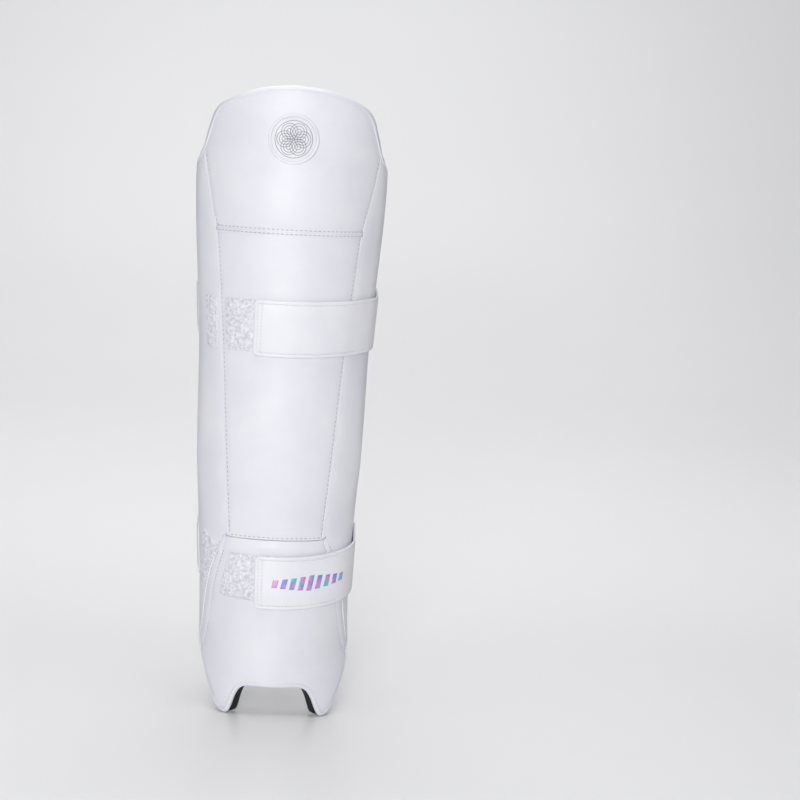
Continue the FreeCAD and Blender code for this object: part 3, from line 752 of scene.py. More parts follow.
@dataclass(frozen=True)
class Layers:
    """How the pad's outline runs through its layers: cut straight back from in front, and across from the side."""

    levels: tuple = (-20, 12, 47, 78, 150, 250, 400, 482, 537, 574, 700)
    backs: tuple = (-29, -29, -8, 28, 48, 56, 61, 57, 0, -24, -24)
    most: float = 12.0
    skin: float = 3.0
    ear_top: float = 56.0
    ear_inner: float = 49.0
    ear_run: float = 10.0
    shoulder: float = 512.0
    shoulder_run: float = 14.0

    def limit(self, x: Array, z: Array, depth: Array | float) -> Array:
        """Distance round the U, at a depth, where the first of the two cuts meets it.

        Args:
            x: Where the cut from in front passes at each level, from the middle of the U.
            z: Levels.
            depth: Depth below the outer face.

        Returns:
            Distances, all positive.
        """
        half, rise, corner, _, big, turn, front, quarter = FORM.arcs(z)
        y = np.interp(z, self.levels, self.backs)
        share = (x - half + corner) / (corner - depth)
        arc = front + corner * (np.arcsin(np.clip(share, 0, 1)) - turn)
        flat = big * np.arcsin(np.clip(x / (big - depth), 0, 1))
        across = np.where(x < (big - depth) * np.sin(turn), flat, np.where(share > 0.995, 900.0, arc))
        share = -y / (corner - depth)
        arc = front + corner * (np.arccos(np.clip(share, 0, 1)) - turn)
        flat = big * np.arccos(np.clip((big - rise - y) / (big - depth), -1, 1))
        back = np.where(y >= 0, front + quarter + y, np.where(share > np.cos(turn), flat, arc))
        return np.minimum(across, back)

    def deepen(self, s: Array, z: Array, depth: Array | float) -> Array:
        """The rim's s at a depth, from its s at the outer face; the foot arch stays square to the face."""
        half, _, corner, _, big, turn, front, _ = FORM.arcs(z)
        reach = np.abs(s)
        x = np.where(reach < front, big * np.sin(reach / big),
                     half - corner + corner * np.sin(np.clip(turn + (reach - front) / corner, 0, math.pi / 2)))
        moved = np.clip(self.limit(x, z, depth) - reach, -self.most, self.most) * np.clip(depth / self.skin, 0, 1)
        ear = np.clip((self.ear_top - z) / self.ear_run, 0, 1) * (x > self.ear_inner)
        crown = np.clip((z - self.shoulder) / self.shoulder_run, 0, 1)
        return s + np.sign(s) * moved * np.maximum(crown, ear)


LAYERS = Layers()


@dataclass
class Patch:
    """A sheet sewn along four edges, laid over the form by blending its edges inwards."""

    name: str
    bottom: Array
    top: Array
    left: Array
    right: Array
    kinds: tuple[EdgeKind, EdgeKind, EdgeKind, EdgeKind] = (EdgeKind.SEAM,) * 4
    columns: int = 110
    rows: int = 150
    depth: float = 0.0
    swell: Callable[[Array, Array], Array] | None = None
    gather: float = 0.75
    softness: float = 1.0
    deepest: float = 1.7

    def crowd(self, share: Array) -> Array:
        """Crowd a grid's lines towards its edges, where the rolls are."""
        return share - self.gather * np.sin(2 * math.pi * share) / (2 * math.pi)

    def flat(self, u: Array, v: Array) -> Array:
        """The (s, z) of the sheet's points, blended from its four edges."""
        bottom, top = along(self.bottom, u), along(self.top, u)
        left, right = along(self.left, v), along(self.right, v)
        u, v = u[:, None], v[:, None]
        corners = ((1 - u) * (1 - v) * self.bottom[0] + u * (1 - v) * self.bottom[-1]
                   + (1 - u) * v * self.top[0] + u * v * self.top[-1])
        return (1 - v) * bottom + v * top + (1 - u) * left + u * right - corners

    def height(self, spots: Array) -> Array:
        """How far the sheet lies above the layer's own depth at each (s, z)."""
        rise = np.zeros(len(spots))
        for edge, kind in zip((self.bottom, self.top, self.left, self.right), self.kinds):
            roll, hollow, width = kind.value
            gap = nearest(spots, along(edge, np.linspace(0, 1, 160)))
            inside = np.clip(roll - gap, 0, roll)
            rise -= roll - np.sqrt(np.maximum(roll**2 - inside**2, 0))
            rise -= hollow * ridge(gap, 0, width)
        rise = np.maximum(rise, -self.deepest) * self.softness
        if self.swell:
            rise += self.swell(spots[:, 0], spots[:, 1])
        return rise

    def laid(self, u: Array, v: Array) -> Array:
        """Points of the finished sheet."""
        spots = self.flat(self.crowd(u), self.crowd(v))
        return FORM.surface(spots[:, 0], spots[:, 1], self.depth - self.height(spots))

    def build(self, finish: Finish, thickness: float, slot: str = "white_cover") -> None:
        """Make the piece, in place of the node that has its name."""
        bm = grid(self.columns, self.rows)
        place(bm, self.laid)
        piece = finished(bm, self.name, finish, outward=False)
        thicken(piece, thickness)
        report(piece, slot, self.name)


def face_line(x0: float, z0: float, x1: float, z1: float) -> Array:
    """A line that is straight as seen from in front."""
    return np.array([FORM.face(x0 + (x1 - x0) * t, z0 + (z1 - z0) * t) for t in np.linspace(0, 1, 60)])


# ---------------------------------------------------------------- sub-assemblies


@dataclass
class Covers:
    """The sewn outer covers: knee, shin and instep panels, both wings and both ankle gussets."""

    thickness: float = 1.5

    def build(self) -> None:
        """Make every cover, its seams' piping and welt, and the threads."""
        self.knee()
        self.shin()
        self.instep()
        for side, word in ((RIGHT, "right"), (LEFT, "left")):
            self.wing(side, word)
            self.gusset(side, word)
            self.piping(side, word)
        self.welt()
        self.stitching()

    def seam_to_rim(self, side: int, low: float) -> Array:
        """The wing seam from a level up to the binding."""
        return LINES.seam(side, low, 546)

    def knee(self) -> None:
        """The knee panel, up to the binding of the crown."""
        left, right = self.seam_to_rim(LEFT, LINES.knee), self.seam_to_rim(RIGHT, LINES.knee)
        halves = [part_of(LINES.inner_rim(side), LINES.inner_rim(side)[0], edge[-1])
                  for side, edge in ((LEFT, left), (RIGHT, right))]
        top = np.vstack([left[-1:], halves[0][::-1][1:], halves[1][1:-1], right[-1:]])
        bottom = level_line(left[0, 0], right[0, 0], LINES.knee)

        def swell(s: Array, z: Array) -> Array:
            return 0.5 * ridge(z, 505, 30) + 0.25 * np.sin(s / 21 + 0.6) * ridge(z, 486, 16)

        patch = Patch("knee_cover", bottom, top, left, right,
                      (EdgeKind.LAP, EdgeKind.HEM, EdgeKind.SEAM, EdgeKind.SEAM), 120, 110, swell=swell)
        patch.build(COVER, self.thickness)

    def shin(self) -> None:
        """The long shin panel between the two wing seams."""
        left, right = (LINES.seam(side, LINES.ankle, LINES.knee) for side in (LEFT, RIGHT))
        bottom, top = (level_line(left[end, 0], right[end, 0], level)
                       for end, level in ((0, LINES.ankle), (-1, LINES.knee)))

        def swell(s: Array, z: Array) -> Array:
            return 0.3 * ridge(z, 440, 22) - 0.5 * ridge(z, 196, 14)

        patch = Patch("shin_cover", bottom, top, left, right,
                      (EdgeKind.LAP, EdgeKind.LAP, EdgeKind.SEAM, EdgeKind.SEAM), 110, 170, swell=swell)
        patch.build(COVER, self.thickness)

    def instep(self) -> None:
        """The instep panel with the foot arch and both ears."""
        folds = {side: LINES.fold(side, 0) for side in (LEFT, RIGHT)}
        edges, halves = {}, {}
        for side in (LEFT, RIGHT):
            rim = LINES.inner_rim(side)
            tip = rim[np.argmin(rim[:, 1])]
            sidewards = part_of(rim, folds[side][-1], tip)
            edges[side] = np.vstack([folds[side][:-1], sidewards])[::-1]
            halves[side] = part_of(rim, tip, rim[-1])
        bottom = np.vstack([halves[LEFT], halves[RIGHT][::-1][1:]])
        top = level_line(folds[LEFT][0, 0], folds[RIGHT][0, 0], LINES.ankle)

        def swell(s: Array, z: Array) -> Array:
            return 0.9 * ridge(z, 166, 6) - 0.7 * ridge(z, 154, 6) + 0.4 * ridge(z, 100, 30)

        patch = Patch("instep_cover", bottom, top, edges[LEFT], edges[RIGHT],
                      (EdgeKind.HEM, EdgeKind.LAP, EdgeKind.SEAM, EdgeKind.SEAM), 140, 150, swell=swell)
        patch.build(COVER, self.thickness)

    def wing(self, side: int, word: str) -> None:
        """One side wing, from its seam round to the rear edge."""
        fold = LINES.fold(side, 1)
        seam = self.seam_to_rim(side, fold[0, 1])
        seam[0] = fold[0]
        rear = part_of(LINES.inner_rim(side), seam[-1], fold[-1])[::-1]
        rear[-1] = seam[-1]
        fold[-1] = rear[0]
        tip = np.vstack([seam[-1:], seam[-1:]])

        def swell(s: Array, z: Array) -> Array:
            return 0.35 * ridge(np.abs(s), 108, 22)

        bottom, left, right = (fold, seam, rear) if side == RIGHT else (fold[::-1], rear, seam)
        kinds = (EdgeKind.SEAM, EdgeKind.HEM, *(EdgeKind.SEAM, EdgeKind.HEM)[::side])
        patch = Patch(f"{word}_wing_cover", bottom, tip, left, right, kinds, 90, 190, swell=swell)
        patch.build(COVER, self.thickness)

    def gusset(self, side: int, word: str) -> None:
        """One slim ankle gusset, puffed between its two sewn edges."""
        inner, outer = LINES.fold(side, 0), LINES.fold(side, 1)
        inner[0] = (inner[0] + outer[0]) / 2
        outer[0] = inner[0]
        end = part_of(LINES.inner_rim(side), outer[-1], inner[-1])
        inner[-1], outer[-1] = end[-1], end[0]
        tip = np.vstack([inner[:1], inner[:1]])
        left, right = (inner, outer) if side == RIGHT else (outer, inner)
        bottom = end[::-1] if side == RIGHT else end
        patch = Patch(f"{word}_gusset", bottom, tip, left[::-1], right[::-1],
                      (EdgeKind.HEM, EdgeKind.SEAM, EdgeKind.SEAM, EdgeKind.SEAM), 16, 90, depth=0.4, gather=0.5)
        patch.build(COVER, self.thickness)

    def piping(self, side: int, word: str) -> None:
        """The thin cord sewn into one wing seam."""
        line = LINES.seam(side, LINES.ankle + 1, 545)
        turn = np.linspace(0, 2 * math.pi, 10, endpoint=False)
        radius, sunk = 0.85, 1.15
        profile = radius * np.stack([np.cos(turn), np.sin(turn)], -1)

        def where(a: Array, b: Array, v: Array) -> Array:
            spots = along(line, v)
            return FORM.surface(spots[:, 0] + a, spots[:, 1], sunk - b)

        name = f"{word}_seam_piping"
        report(finished(tube(profile, 150, where), name, EDGE), "white_cover", name)

    def welt(self) -> None:
        """The raised strip that covers the knee seam."""
        left, right = LINES.ends(LINES.knee)
        half, rise = 3.0, 0.55
        across = np.array([-half, -half + 0.5, -1.2, 0, 1.2, half - 0.5, half, half - 0.6, -half + 0.6])
        up = np.array([-0.5, rise - 0.1, rise * 0.6, rise * 0.4, rise * 0.6, rise - 0.1, -0.5, -1.6, -1.6])

        def where(a: Array, b: Array, v: Array) -> Array:
            s = left + 1.2 + (right - left - 2.4) * v
            return FORM.surface(s, LINES.knee + a, -b + 0.3)

        strip = tube(np.stack([across, up], -1), 90, where)
        report(finished(strip, "knee_seam_welt", EDGE), "white_cover", "knee_seam_welt")

    def stitching(self) -> None:
        """Thread along every seam of the covers."""
        def level(z: float, shrink: float) -> Array:
            left, right = LINES.ends(z)
            return level_line(left + shrink, right - shrink, z, 120)

        def at(depth: float) -> Place:
            return lambda s, z: FORM.surface(s, z, depth)

        # These seams take the thread whose grey is painted shade for the stitch holes.
        thread = Thread()
        thread.sew("knee_seam_stitches", [level(LINES.knee + 2.0, 3), level(LINES.knee - 2.0, 3)], "pad", at(-0.25))
        thread.sew("ankle_seam_stitches", [level(LINES.ankle + 2.6, 3)], "pad", at(0.55))
        seams = [shifted(LINES.seam(side, LINES.ankle + 4, 540), side * 2.6) for side in (LEFT, RIGHT)]
        thread.sew("wing_seam_stitches", seams, "pad", at(0.2))
        folds = []
        for side in (LEFT, RIGHT):
            folds += [shifted(LINES.fold(side, 0)[6:-4], -side * 1.8), shifted(LINES.fold(side, 1)[6:-4], side * 1.8)]
        Thread(length=2.3, gap=1.3, width=0.6).sew("gusset_stitches", folds, "pad", at(0.25))


@dataclass
class Binding:
    """The strip turned over the whole rim, from the covers to the lining."""

    hem: float = 3.4
    arch_top: float = 45.0
    arch_run: float = 5.0
    arch_depth: float = 0.28

    def build(self) -> None:
        """Make the binding and the thread that holds it."""
        rim = np.vstack([LINES.rim(RIGHT), LINES.rim(LEFT)[::-1][1:-1]])
        rim = np.vstack([rim, rim[:1]])
        profile = np.array([
            (-4.2, 0.5), (-4.0, -0.05), (-3.4, -0.2), (-2.6, -0.15), (-1.7, 0.25), (-0.8, 1.2), (-0.2, 2.8), (0, 5),
            (0, 10), (-0.2, 12.8), (-0.8, 14.9), (-2.2, 16.2), (-3.9, 16.5), (-4.6, 16.0), (-4.5, 15.35), (-2.6, 15.3),
            (-2.1, 12.8), (-2.0, 10), (-2.0, 5), (-3.0, 2.2)])
        mapped = np.hstack([rim, beside(rim, closed=True)])
        middle = FORM.foot(0, LINES.arch)[0]
        reach = FORM.foot(50, 2)[0] - middle

        def where(a: Array, b: Array, v: Array) -> Array:
            spot = along(mapped, v)
            inner = np.clip((reach - np.abs(spot[:, 0] - middle)) / self.arch_run, 0, 1) * (spot[:, 1] < self.arch_top)
            depth = b * (1 - (1 - self.arch_depth) * inner**2 * (3 - 2 * inner))
            s = LAYERS.deepen(spot[:, 0], spot[:, 1], np.maximum(depth, 0))
            return FORM.surface(s + a * spot[:, 2], spot[:, 1] + a * spot[:, 3], depth)

        strip = tube(profile, 700, where, closed=True)
        report(finished(strip, "edge_binding", EDGE), "white_cover", "edge_binding")
        tips = {side: LINES.ear[4] for side in (RIGHT, LEFT)}
        arch = {side: part_of(LINES.rim(side), np.array(FORM.foot(side * (tips[side][0] - 3), 1.2)),
                              LINES.rim(side)[-1]) for side in tips}
        line = np.vstack([arch[LEFT], arch[RIGHT][::-1][1:]])
        band = np.hstack([line, -beside(line)])
        section = np.array([(-0.7, 3.6), (-0.35, 6), (-0.25, 9), (-0.35, 12), (-0.7, 15.6), (-3.4, 16.2), (-4.6, 12),
                            (-4.6, 6), (-3.6, 3.2)])

        def inside(a: Array, b: Array, v: Array) -> Array:
            spot = along(band, v)
            return FORM.surface(spot[:, 0] + a * spot[:, 2], spot[:, 1] + a * spot[:, 3], b)

        report(finished(tube(section, 180, inside), "arch_lining", LINING), "black_lining")
        rows = [LINES.inner_rim(side, self.hem)[4:-2] for side in (RIGHT, LEFT)]
        Thread(2.4, 1.4, 0.55, WHITE_THREAD).sew(
            "binding_stitches", rows, "pad", lambda s, z: FORM.surface(s, z, 0.05))


@dataclass
class Badge:
    """The round moulded badge: a raised rim, a disc and a rosette of fine ink-filled grooves."""

    level: float = 559.5
    radius: float = 24.0
    rim: float = 3.0
    petals: int = 6
    line: float = 0.55
    distance: float = 8.3
    circles: tuple = (2.6, 5.2, 7.6)
    surround: float = 17.6

    def bend(self, bm: BMesh) -> None:
        """Bend a mesh made flat, in millimetres with +Z outwards, to the pad's face."""
        centre = FORM.face(0, self.level)[0]
        flat = np.array([vert.co[:] for vert in bm.verts])
        laid = FORM.surface(centre + flat[:, 0], self.level + flat[:, 1], -flat[:, 2])
        for vert, spot in zip(bm.verts, laid * MM):
            vert.co = spot

    @staticmethod
    def spun(profile: list[tuple[float, float]], steps: int,
             centre: tuple[float, float] = (0, 0)) -> BMesh:
        """A closed profile of (radius, height) points spun about an axis through centre."""
        bm = bmesh.new()
        verts = [bm.verts.new((centre[0] + radius, centre[1], height)) for radius, height in profile]
        edges = [bm.edges.new(pair) for pair in zip(verts, verts[1:] + verts[:1])]
        bmesh.ops.spin(bm, geom=verts + edges, cent=(*centre, 0), axis=(0, 0, 1), angle=2 * math.pi, steps=steps,
                       use_merge=True)
        bmesh.ops.remove_doubles(bm, verts=bm.verts, dist=1e-4)
        return bm

    def build(self) -> None:
        """Make the rim, the disc and the rosette."""
        outer, inner = self.radius, self.radius - self.rim
        ring = self.spun([(outer, -0.6), (outer, 1.4), (outer - 0.35, 2.3), (outer - 1.0, 2.75), (outer - 1.9, 2.7),
                          (outer - 2.6, 2.2), (inner, 1.5), (inner, -0.6)], 96)
        disc = self.spun([(inner + 0.4, -0.6), (inner + 0.4, 1.2), (inner - 1.2, 1.15), (inner - 3, 1.45),
                          (12, 1.75), (6, 1.9), (0.02, 1.95), (0.02, -0.6)], 96)
        lines = []
        for index in range(self.petals):
            angle = 2 * math.pi * index / self.petals
            centre = (self.distance * math.cos(angle), self.distance * math.sin(angle))
            lines += [self.circle(radius, centre) for radius in self.circles]
        lines.append(self.circle(self.surround, (0, 0)))
        for bm, name, finish, nodes in ((ring, "badge_ring", RUBBER, ["badge_ring"]),
                                        (disc, "badge_disc", RUBBER, ["badge_disc"]),
                                        (joined(lines), "badge_rosette", INK, [])):
            self.bend(bm)
            report(finished(bm, name, finish), "badge_rubber", *nodes)

    def circle(self, radius: float, centre: tuple[float, float]) -> BMesh:
        """One circle of the rosette, lying on the domed disc."""
        half = self.line / 2
        circle = self.spun([(radius - half, 0), (radius, half * 0.8), (radius + half, 0), (radius, -half)], 44, centre)
        for vert in circle.verts:
            vert.co.z += self.dome(math.hypot(vert.co.x, vert.co.y))
        return circle

    @staticmethod
    def dome(radius: float) -> float:
        """Height of the disc at a distance from its middle."""
        return float(np.interp(radius, (0, 6, 12, 18, 19.8), (1.95, 1.9, 1.75, 1.45, 1.15)))


@dataclass
class Strap:
    """One wrap-round strap: leather-faced tab and side, elastic back, sewn end, hook tape and stitching."""

    name: str
    level: float
    lift: float
    width: float
    tail: float
    tab_end: float
    fold: tuple[float, float]
    fold_back: float
    wall_x: float
    thickness: float = 1.9
    border: float = 3.6
    corner: float = 5.0
    stand_off: float = 2.05
    front_y: float = -70.0
    way_back: float = 165.0
    thread: Thread = field(default_factory=lambda: Thread(2.2, 1.0, 0.5, WHITE_THREAD))

    def backwards(self, y: Array) -> Array:
        """The share of the strap's way back that is done at a depth y of the pad."""
        return (y - self.front_y) / self.way_back

    def middle(self, y: Array) -> Array:
        """Level of the strap's middle line at a depth y of the pad."""
        return self.level + self.lift * self.backwards(y)

    def back_level(self) -> float:
        """Level of the middle line where the strap folds at the back."""
        return float(self.middle(np.array(self.fold_back)))

    def half(self, y: Array) -> Array:
        """Half width of the strap at a depth y of the pad."""
        return (self.width + (self.tail - self.width) * self.backwards(y)) / 2

    def reach(self) -> tuple[float, float]:
        """The s of the tab's end and of the side's rear end."""
        start = FORM.face(self.tab_end, self.level)[0]
        end = FORM.wall(self.fold_back - 2, self.back_level(), RIGHT)[0]
        return start, end

    def on_pad(self, s: Array, across: Array, proud: Array | float) -> Array:
        """Points on the strap where it lies on the pad; across runs from -1 to 1 over its width."""
        y = FORM.surface(s, np.full(len(s), self.level), -2.9)[:, 1] + FORM.setback
        return FORM.surface(s, self.middle(y) + across * self.half(y), -proud)

    @staticmethod
    def rows(length: float) -> Array:
        """Steps along a strap: close together where its end is worked, then even."""
        fine = [0, 0.25, 0.7, 1.3, 2.2, 3.2, 4.2, 5.2, 6.0, 6.5, 7.0, 7.5, 8.0, 9.0, 11.0, 14.0]
        tail = [length - gap for gap in (5.2, 4.2, 3.2, 2.2, 1.3, 0.7, 0.25, 0)]
        count = int((tail[0] - fine[-1]) / 2.6)
        return np.array(fine + list(np.linspace(fine[-1], tail[0], count)[1:-1]) + tail)

    def shell(self, rows: Array, length: float, spot: Callable, crease: float = 7.0) -> BMesh:
        """A strap's closed shell, with a rolled border, a stitched groove and rounded corners.

        Args:
            rows: Steps along the strap.
            length: Its length.
            spot: Gives points from the distance along, the share across and the height.
            crease: Distance of the cross groove from the tab's end.

        Returns:
            The mesh.
        """
        half = self.width / 2
        inward = np.array([0, 0.15, 0.5, 1.1, 2.0, 2.8, 3.3, 3.6, 3.9, 4.4, 5.4, 8, 12, 17, 22, half])
        gaps = np.concatenate([inward, inward[::-1][1:]])
        signs = np.concatenate([-(half - inward), (half - inward)[::-1][1:]]) / half
        top = len(signs)
        under = np.array([1, 0.6, 0.2, -0.2, -0.6, -1]) * (1 - 0.3 / half)
        ring = np.concatenate([signs, under])
        bm = grid(len(ring), len(rows) - 1)

        def where(u: Array, v: Array) -> Array:
            index = np.rint(u * len(ring)).astype(int) % len(ring)
            run = rows[np.rint(v * (len(rows) - 1)).astype(int)]
            from_end = np.minimum(run, length - run)
            across = ring[index]
            edge = np.where(index < top, gaps[np.minimum(index, top - 1)], 3)
            lost = np.where(from_end < self.corner,
                            self.corner - np.sqrt(np.maximum(self.corner**2 - (self.corner - from_end) ** 2, 0)), 0)
            across = across * (1 - lost / half)
            edge = np.minimum(edge, from_end)
            roll = 1.1 - np.sqrt(np.maximum(1.1**2 - np.clip(1.1 - edge, 0, 1.1) ** 2, 0))
            groove = 0.45 * ridge(edge, self.border, 0.45) + 0.4 * ridge(run, crease, 0.5) * (edge > 2)
            dome = 0.45 * (1 - np.abs(across) ** 2.5) * np.clip(edge / 8, 0, 1)
            height = np.where(index < top, self.thickness - roll - groove + dome, 0.0)
            return spot(run, across, height)

        place(bm, where)
        return close(bm, 2e-6)

    def build(self) -> None:
        """Make the strap's pieces, its threads and its sewn end."""
        start, end = self.reach()

        def on_face(run: Array, across: Array, height: Array) -> Array:
            return self.on_pad(start + run, across, self.stand_off + height)

        piece = finished(self.shell(self.rows(end - start), end - start, on_face), f"{self.name}_strap", STRAP)
        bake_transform(piece)
        report(piece, "strap_face", f"{self.name}_strap_tab", f"{self.name}_strap_side", body=None)
        self.border_thread(start, end)
        self.elastic()
        self.anchor()
        dress(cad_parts[f"{self.name}_hook_tape"], HOOK)

    def border_thread(self, start: float, end: float) -> None:
        """Stitches in the border's groove, on the tab and on the side."""
        share = 1 - self.border / (self.width / 2)
        proud = self.stand_off + self.thickness
        fold_s = float(FORM.locate(np.array([[*self.fold, self.level]]) - np.array([[0, FORM.setback, 0]]))[0][0])

        def line(first: float, last: float, across: float) -> Array:
            s = np.linspace(first, last, 80)
            return self.on_pad(s, np.full(80, across), proud - 0.05)

        def cross(run: float, reach: float) -> Array:
            return self.on_pad(np.full(30, start + run), np.linspace(-reach, reach, 30), proud + 0.1)

        tab = [line(start + 4, fold_s - 12, edge) for edge in (-share, share)] + [cross(7.0, share), cross(3.6, share)]
        self.thread.sew(f"{self.name}_tab_stitches", tab, f"{self.name}_tab")
        side = [line(fold_s + 12, end - 4, edge) for edge in (-share, share)]
        self.thread.sew(f"{self.name}_side_stitches", side, f"{self.name}_side")

    def elastic(self) -> None:
        """The elastic back in two halves, each tucked under leather at its outer end."""
        rise, corner, spring, tuck = 32.0, 22.0, self.fold_back + 4.0, 16.0
        _, _, front, quarter = bow(self.wall_x, rise, corner)
        steps, face, ribs = 150, 93, 22
        width = np.concatenate([np.linspace(-1, 1, face), np.linspace(1, -1, 12)[1:-1]])
        for side, word, body in ((RIGHT, "right", f"{self.name}_side"), (LEFT, "left", "pad")):
            bm = grid(len(width), steps)

            def where(u: Array, v: Array) -> Array:
                index = np.rint(u * len(width)).astype(int) % len(width)
                across = width[index]
                rib = 0.16 * np.cos(across * math.pi * ribs)
                edge = 0.45 * np.clip(1 - (1 - np.abs(across)) / 0.05, 0, 1)
                height = np.where(index < face, rib - edge, -1.5)
                x, y = bowed(v * (front + quarter + tuck), -height, self.wall_x, rise, corner)
                y = spring - y
                tilt = self.middle(y) + across * self.half(y)
                return np.stack([side * x, y - FORM.setback, tilt], -1)

            place(bm, where)
            piece = finished(close(bm), f"{self.name}_elastic_{word}", ELASTIC)
            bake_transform(piece)
            report(piece, "white_elastic", f"{self.name}_strap_back", body=None)

    @staticmethod
    def anchor_rise(run: Array) -> Array:
        """How far the sewn end stands off the wing, rising over the elastic under it."""
        share = np.clip((run - 5) / 12, 0, 1)
        return 0.15 + 1.5 * share**2 * (3 - 2 * share)

    def anchor(self) -> None:
        """The leather end of the strap, box-stitched to the left wing over the elastic."""
        rear = -FORM.wall(self.fold_back - 2, self.back_level(), RIGHT)[0]
        length = 34.0

        def on_wing(run: Array, across: Array, height: Array) -> Array:
            return self.on_pad(rear + length - run, across, self.anchor_rise(run) + height)

        rows = self.rows(length)
        name = f"{self.name}_strap_anchor"
        report(finished(self.shell(rows, length, on_wing, crease=-9), name, STRAP), "strap_face", name)
        inset, share = 6.0, 0.72
        corners = [(inset, -share), (length - inset, -share), (length - inset, share), (inset, share)]
        lines = []
        for (run0, across0), (run1, across1) in list(zip(corners, corners[1:] + corners[:1])) + [
                (corners[0], corners[2]), (corners[1], corners[3])]:
            run, across = np.linspace(run0, run1, 30), np.linspace(across0, across1, 30)
            lines.append(self.on_pad(rear + length - run, across, self.anchor_rise(run) + self.thickness + 0.3))
        self.thread.sew(f"{self.name}_anchor_stitches", lines, "pad")


@dataclass
class Motif:
    """A row of slanted bars printed on the lower tab, falling in height along it."""

    strap: Strap
    bars: int = 9
    start: float = 17.0
    pitch: float = 8.2
    bar: float = 5.0
    lean: float = 3.2
    tall: float = 15.0
    film: float = 0.12

    def build(self) -> None:
        """Make the print as a thin film on the strap."""
        first = self.strap.reach()[0]
        bars = []
        for index in range(self.bars):
            height = self.tall * (1 - 0.5 * abs(index - (self.bars - 1) / 2) / ((self.bars - 1) / 2))
            bar = grid(6, 8)

            def where(u: Array, v: Array) -> Array:
                run = self.start + index * self.pitch + u * self.bar + (v - 0.5) * self.lean * height / self.tall
                across = (v - 0.5) * height / (self.strap.width / 2)
                dome = 0.45 * (1 - np.abs(across) ** 2.5)
                return self.strap.on_pad(first + run, across, self.strap.stand_off + self.strap.thickness + dome + 0.06)

            place(bar, where)
            bars.append(bar)
        piece = finished(joined(bars), "printed_bars", PRINT, outward=False)
        thicken(piece, self.film)
        report(piece, "strap_face", body=f"{self.strap.name}_tab")


@dataclass
class LoopTape:
    """One patch of brushed loop tape, given by its corners as seen from in front, anticlockwise from low left."""

    node: str
    corners: tuple

    def build(self) -> None:
        """Make the patch, a little proud of the cover and uneven like cut pile."""
        low_left, low_right, top_right, top_left = self.corners
        bottom, top = face_line(*low_left, *low_right), face_line(*top_left, *top_right)
        left, right = face_line(*low_left, *top_left), face_line(*low_right, *top_right)

        def pile(s: Array, z: Array) -> Array:
            return 0.09 * (np.sin(1.9 * s + 0.7 * z) + np.sin(2.6 * z - 1.1 * s) * np.sin(0.9 * s + 1.7 * z))

        patch = Patch(self.node, bottom, top, left, right, (EdgeKind.HEM,) * 4, 60, 60, depth=-1.35, swell=pile,
                      gather=0.4, softness=0.8)
        patch.build(LOOP, 1.3, "loop_tape")


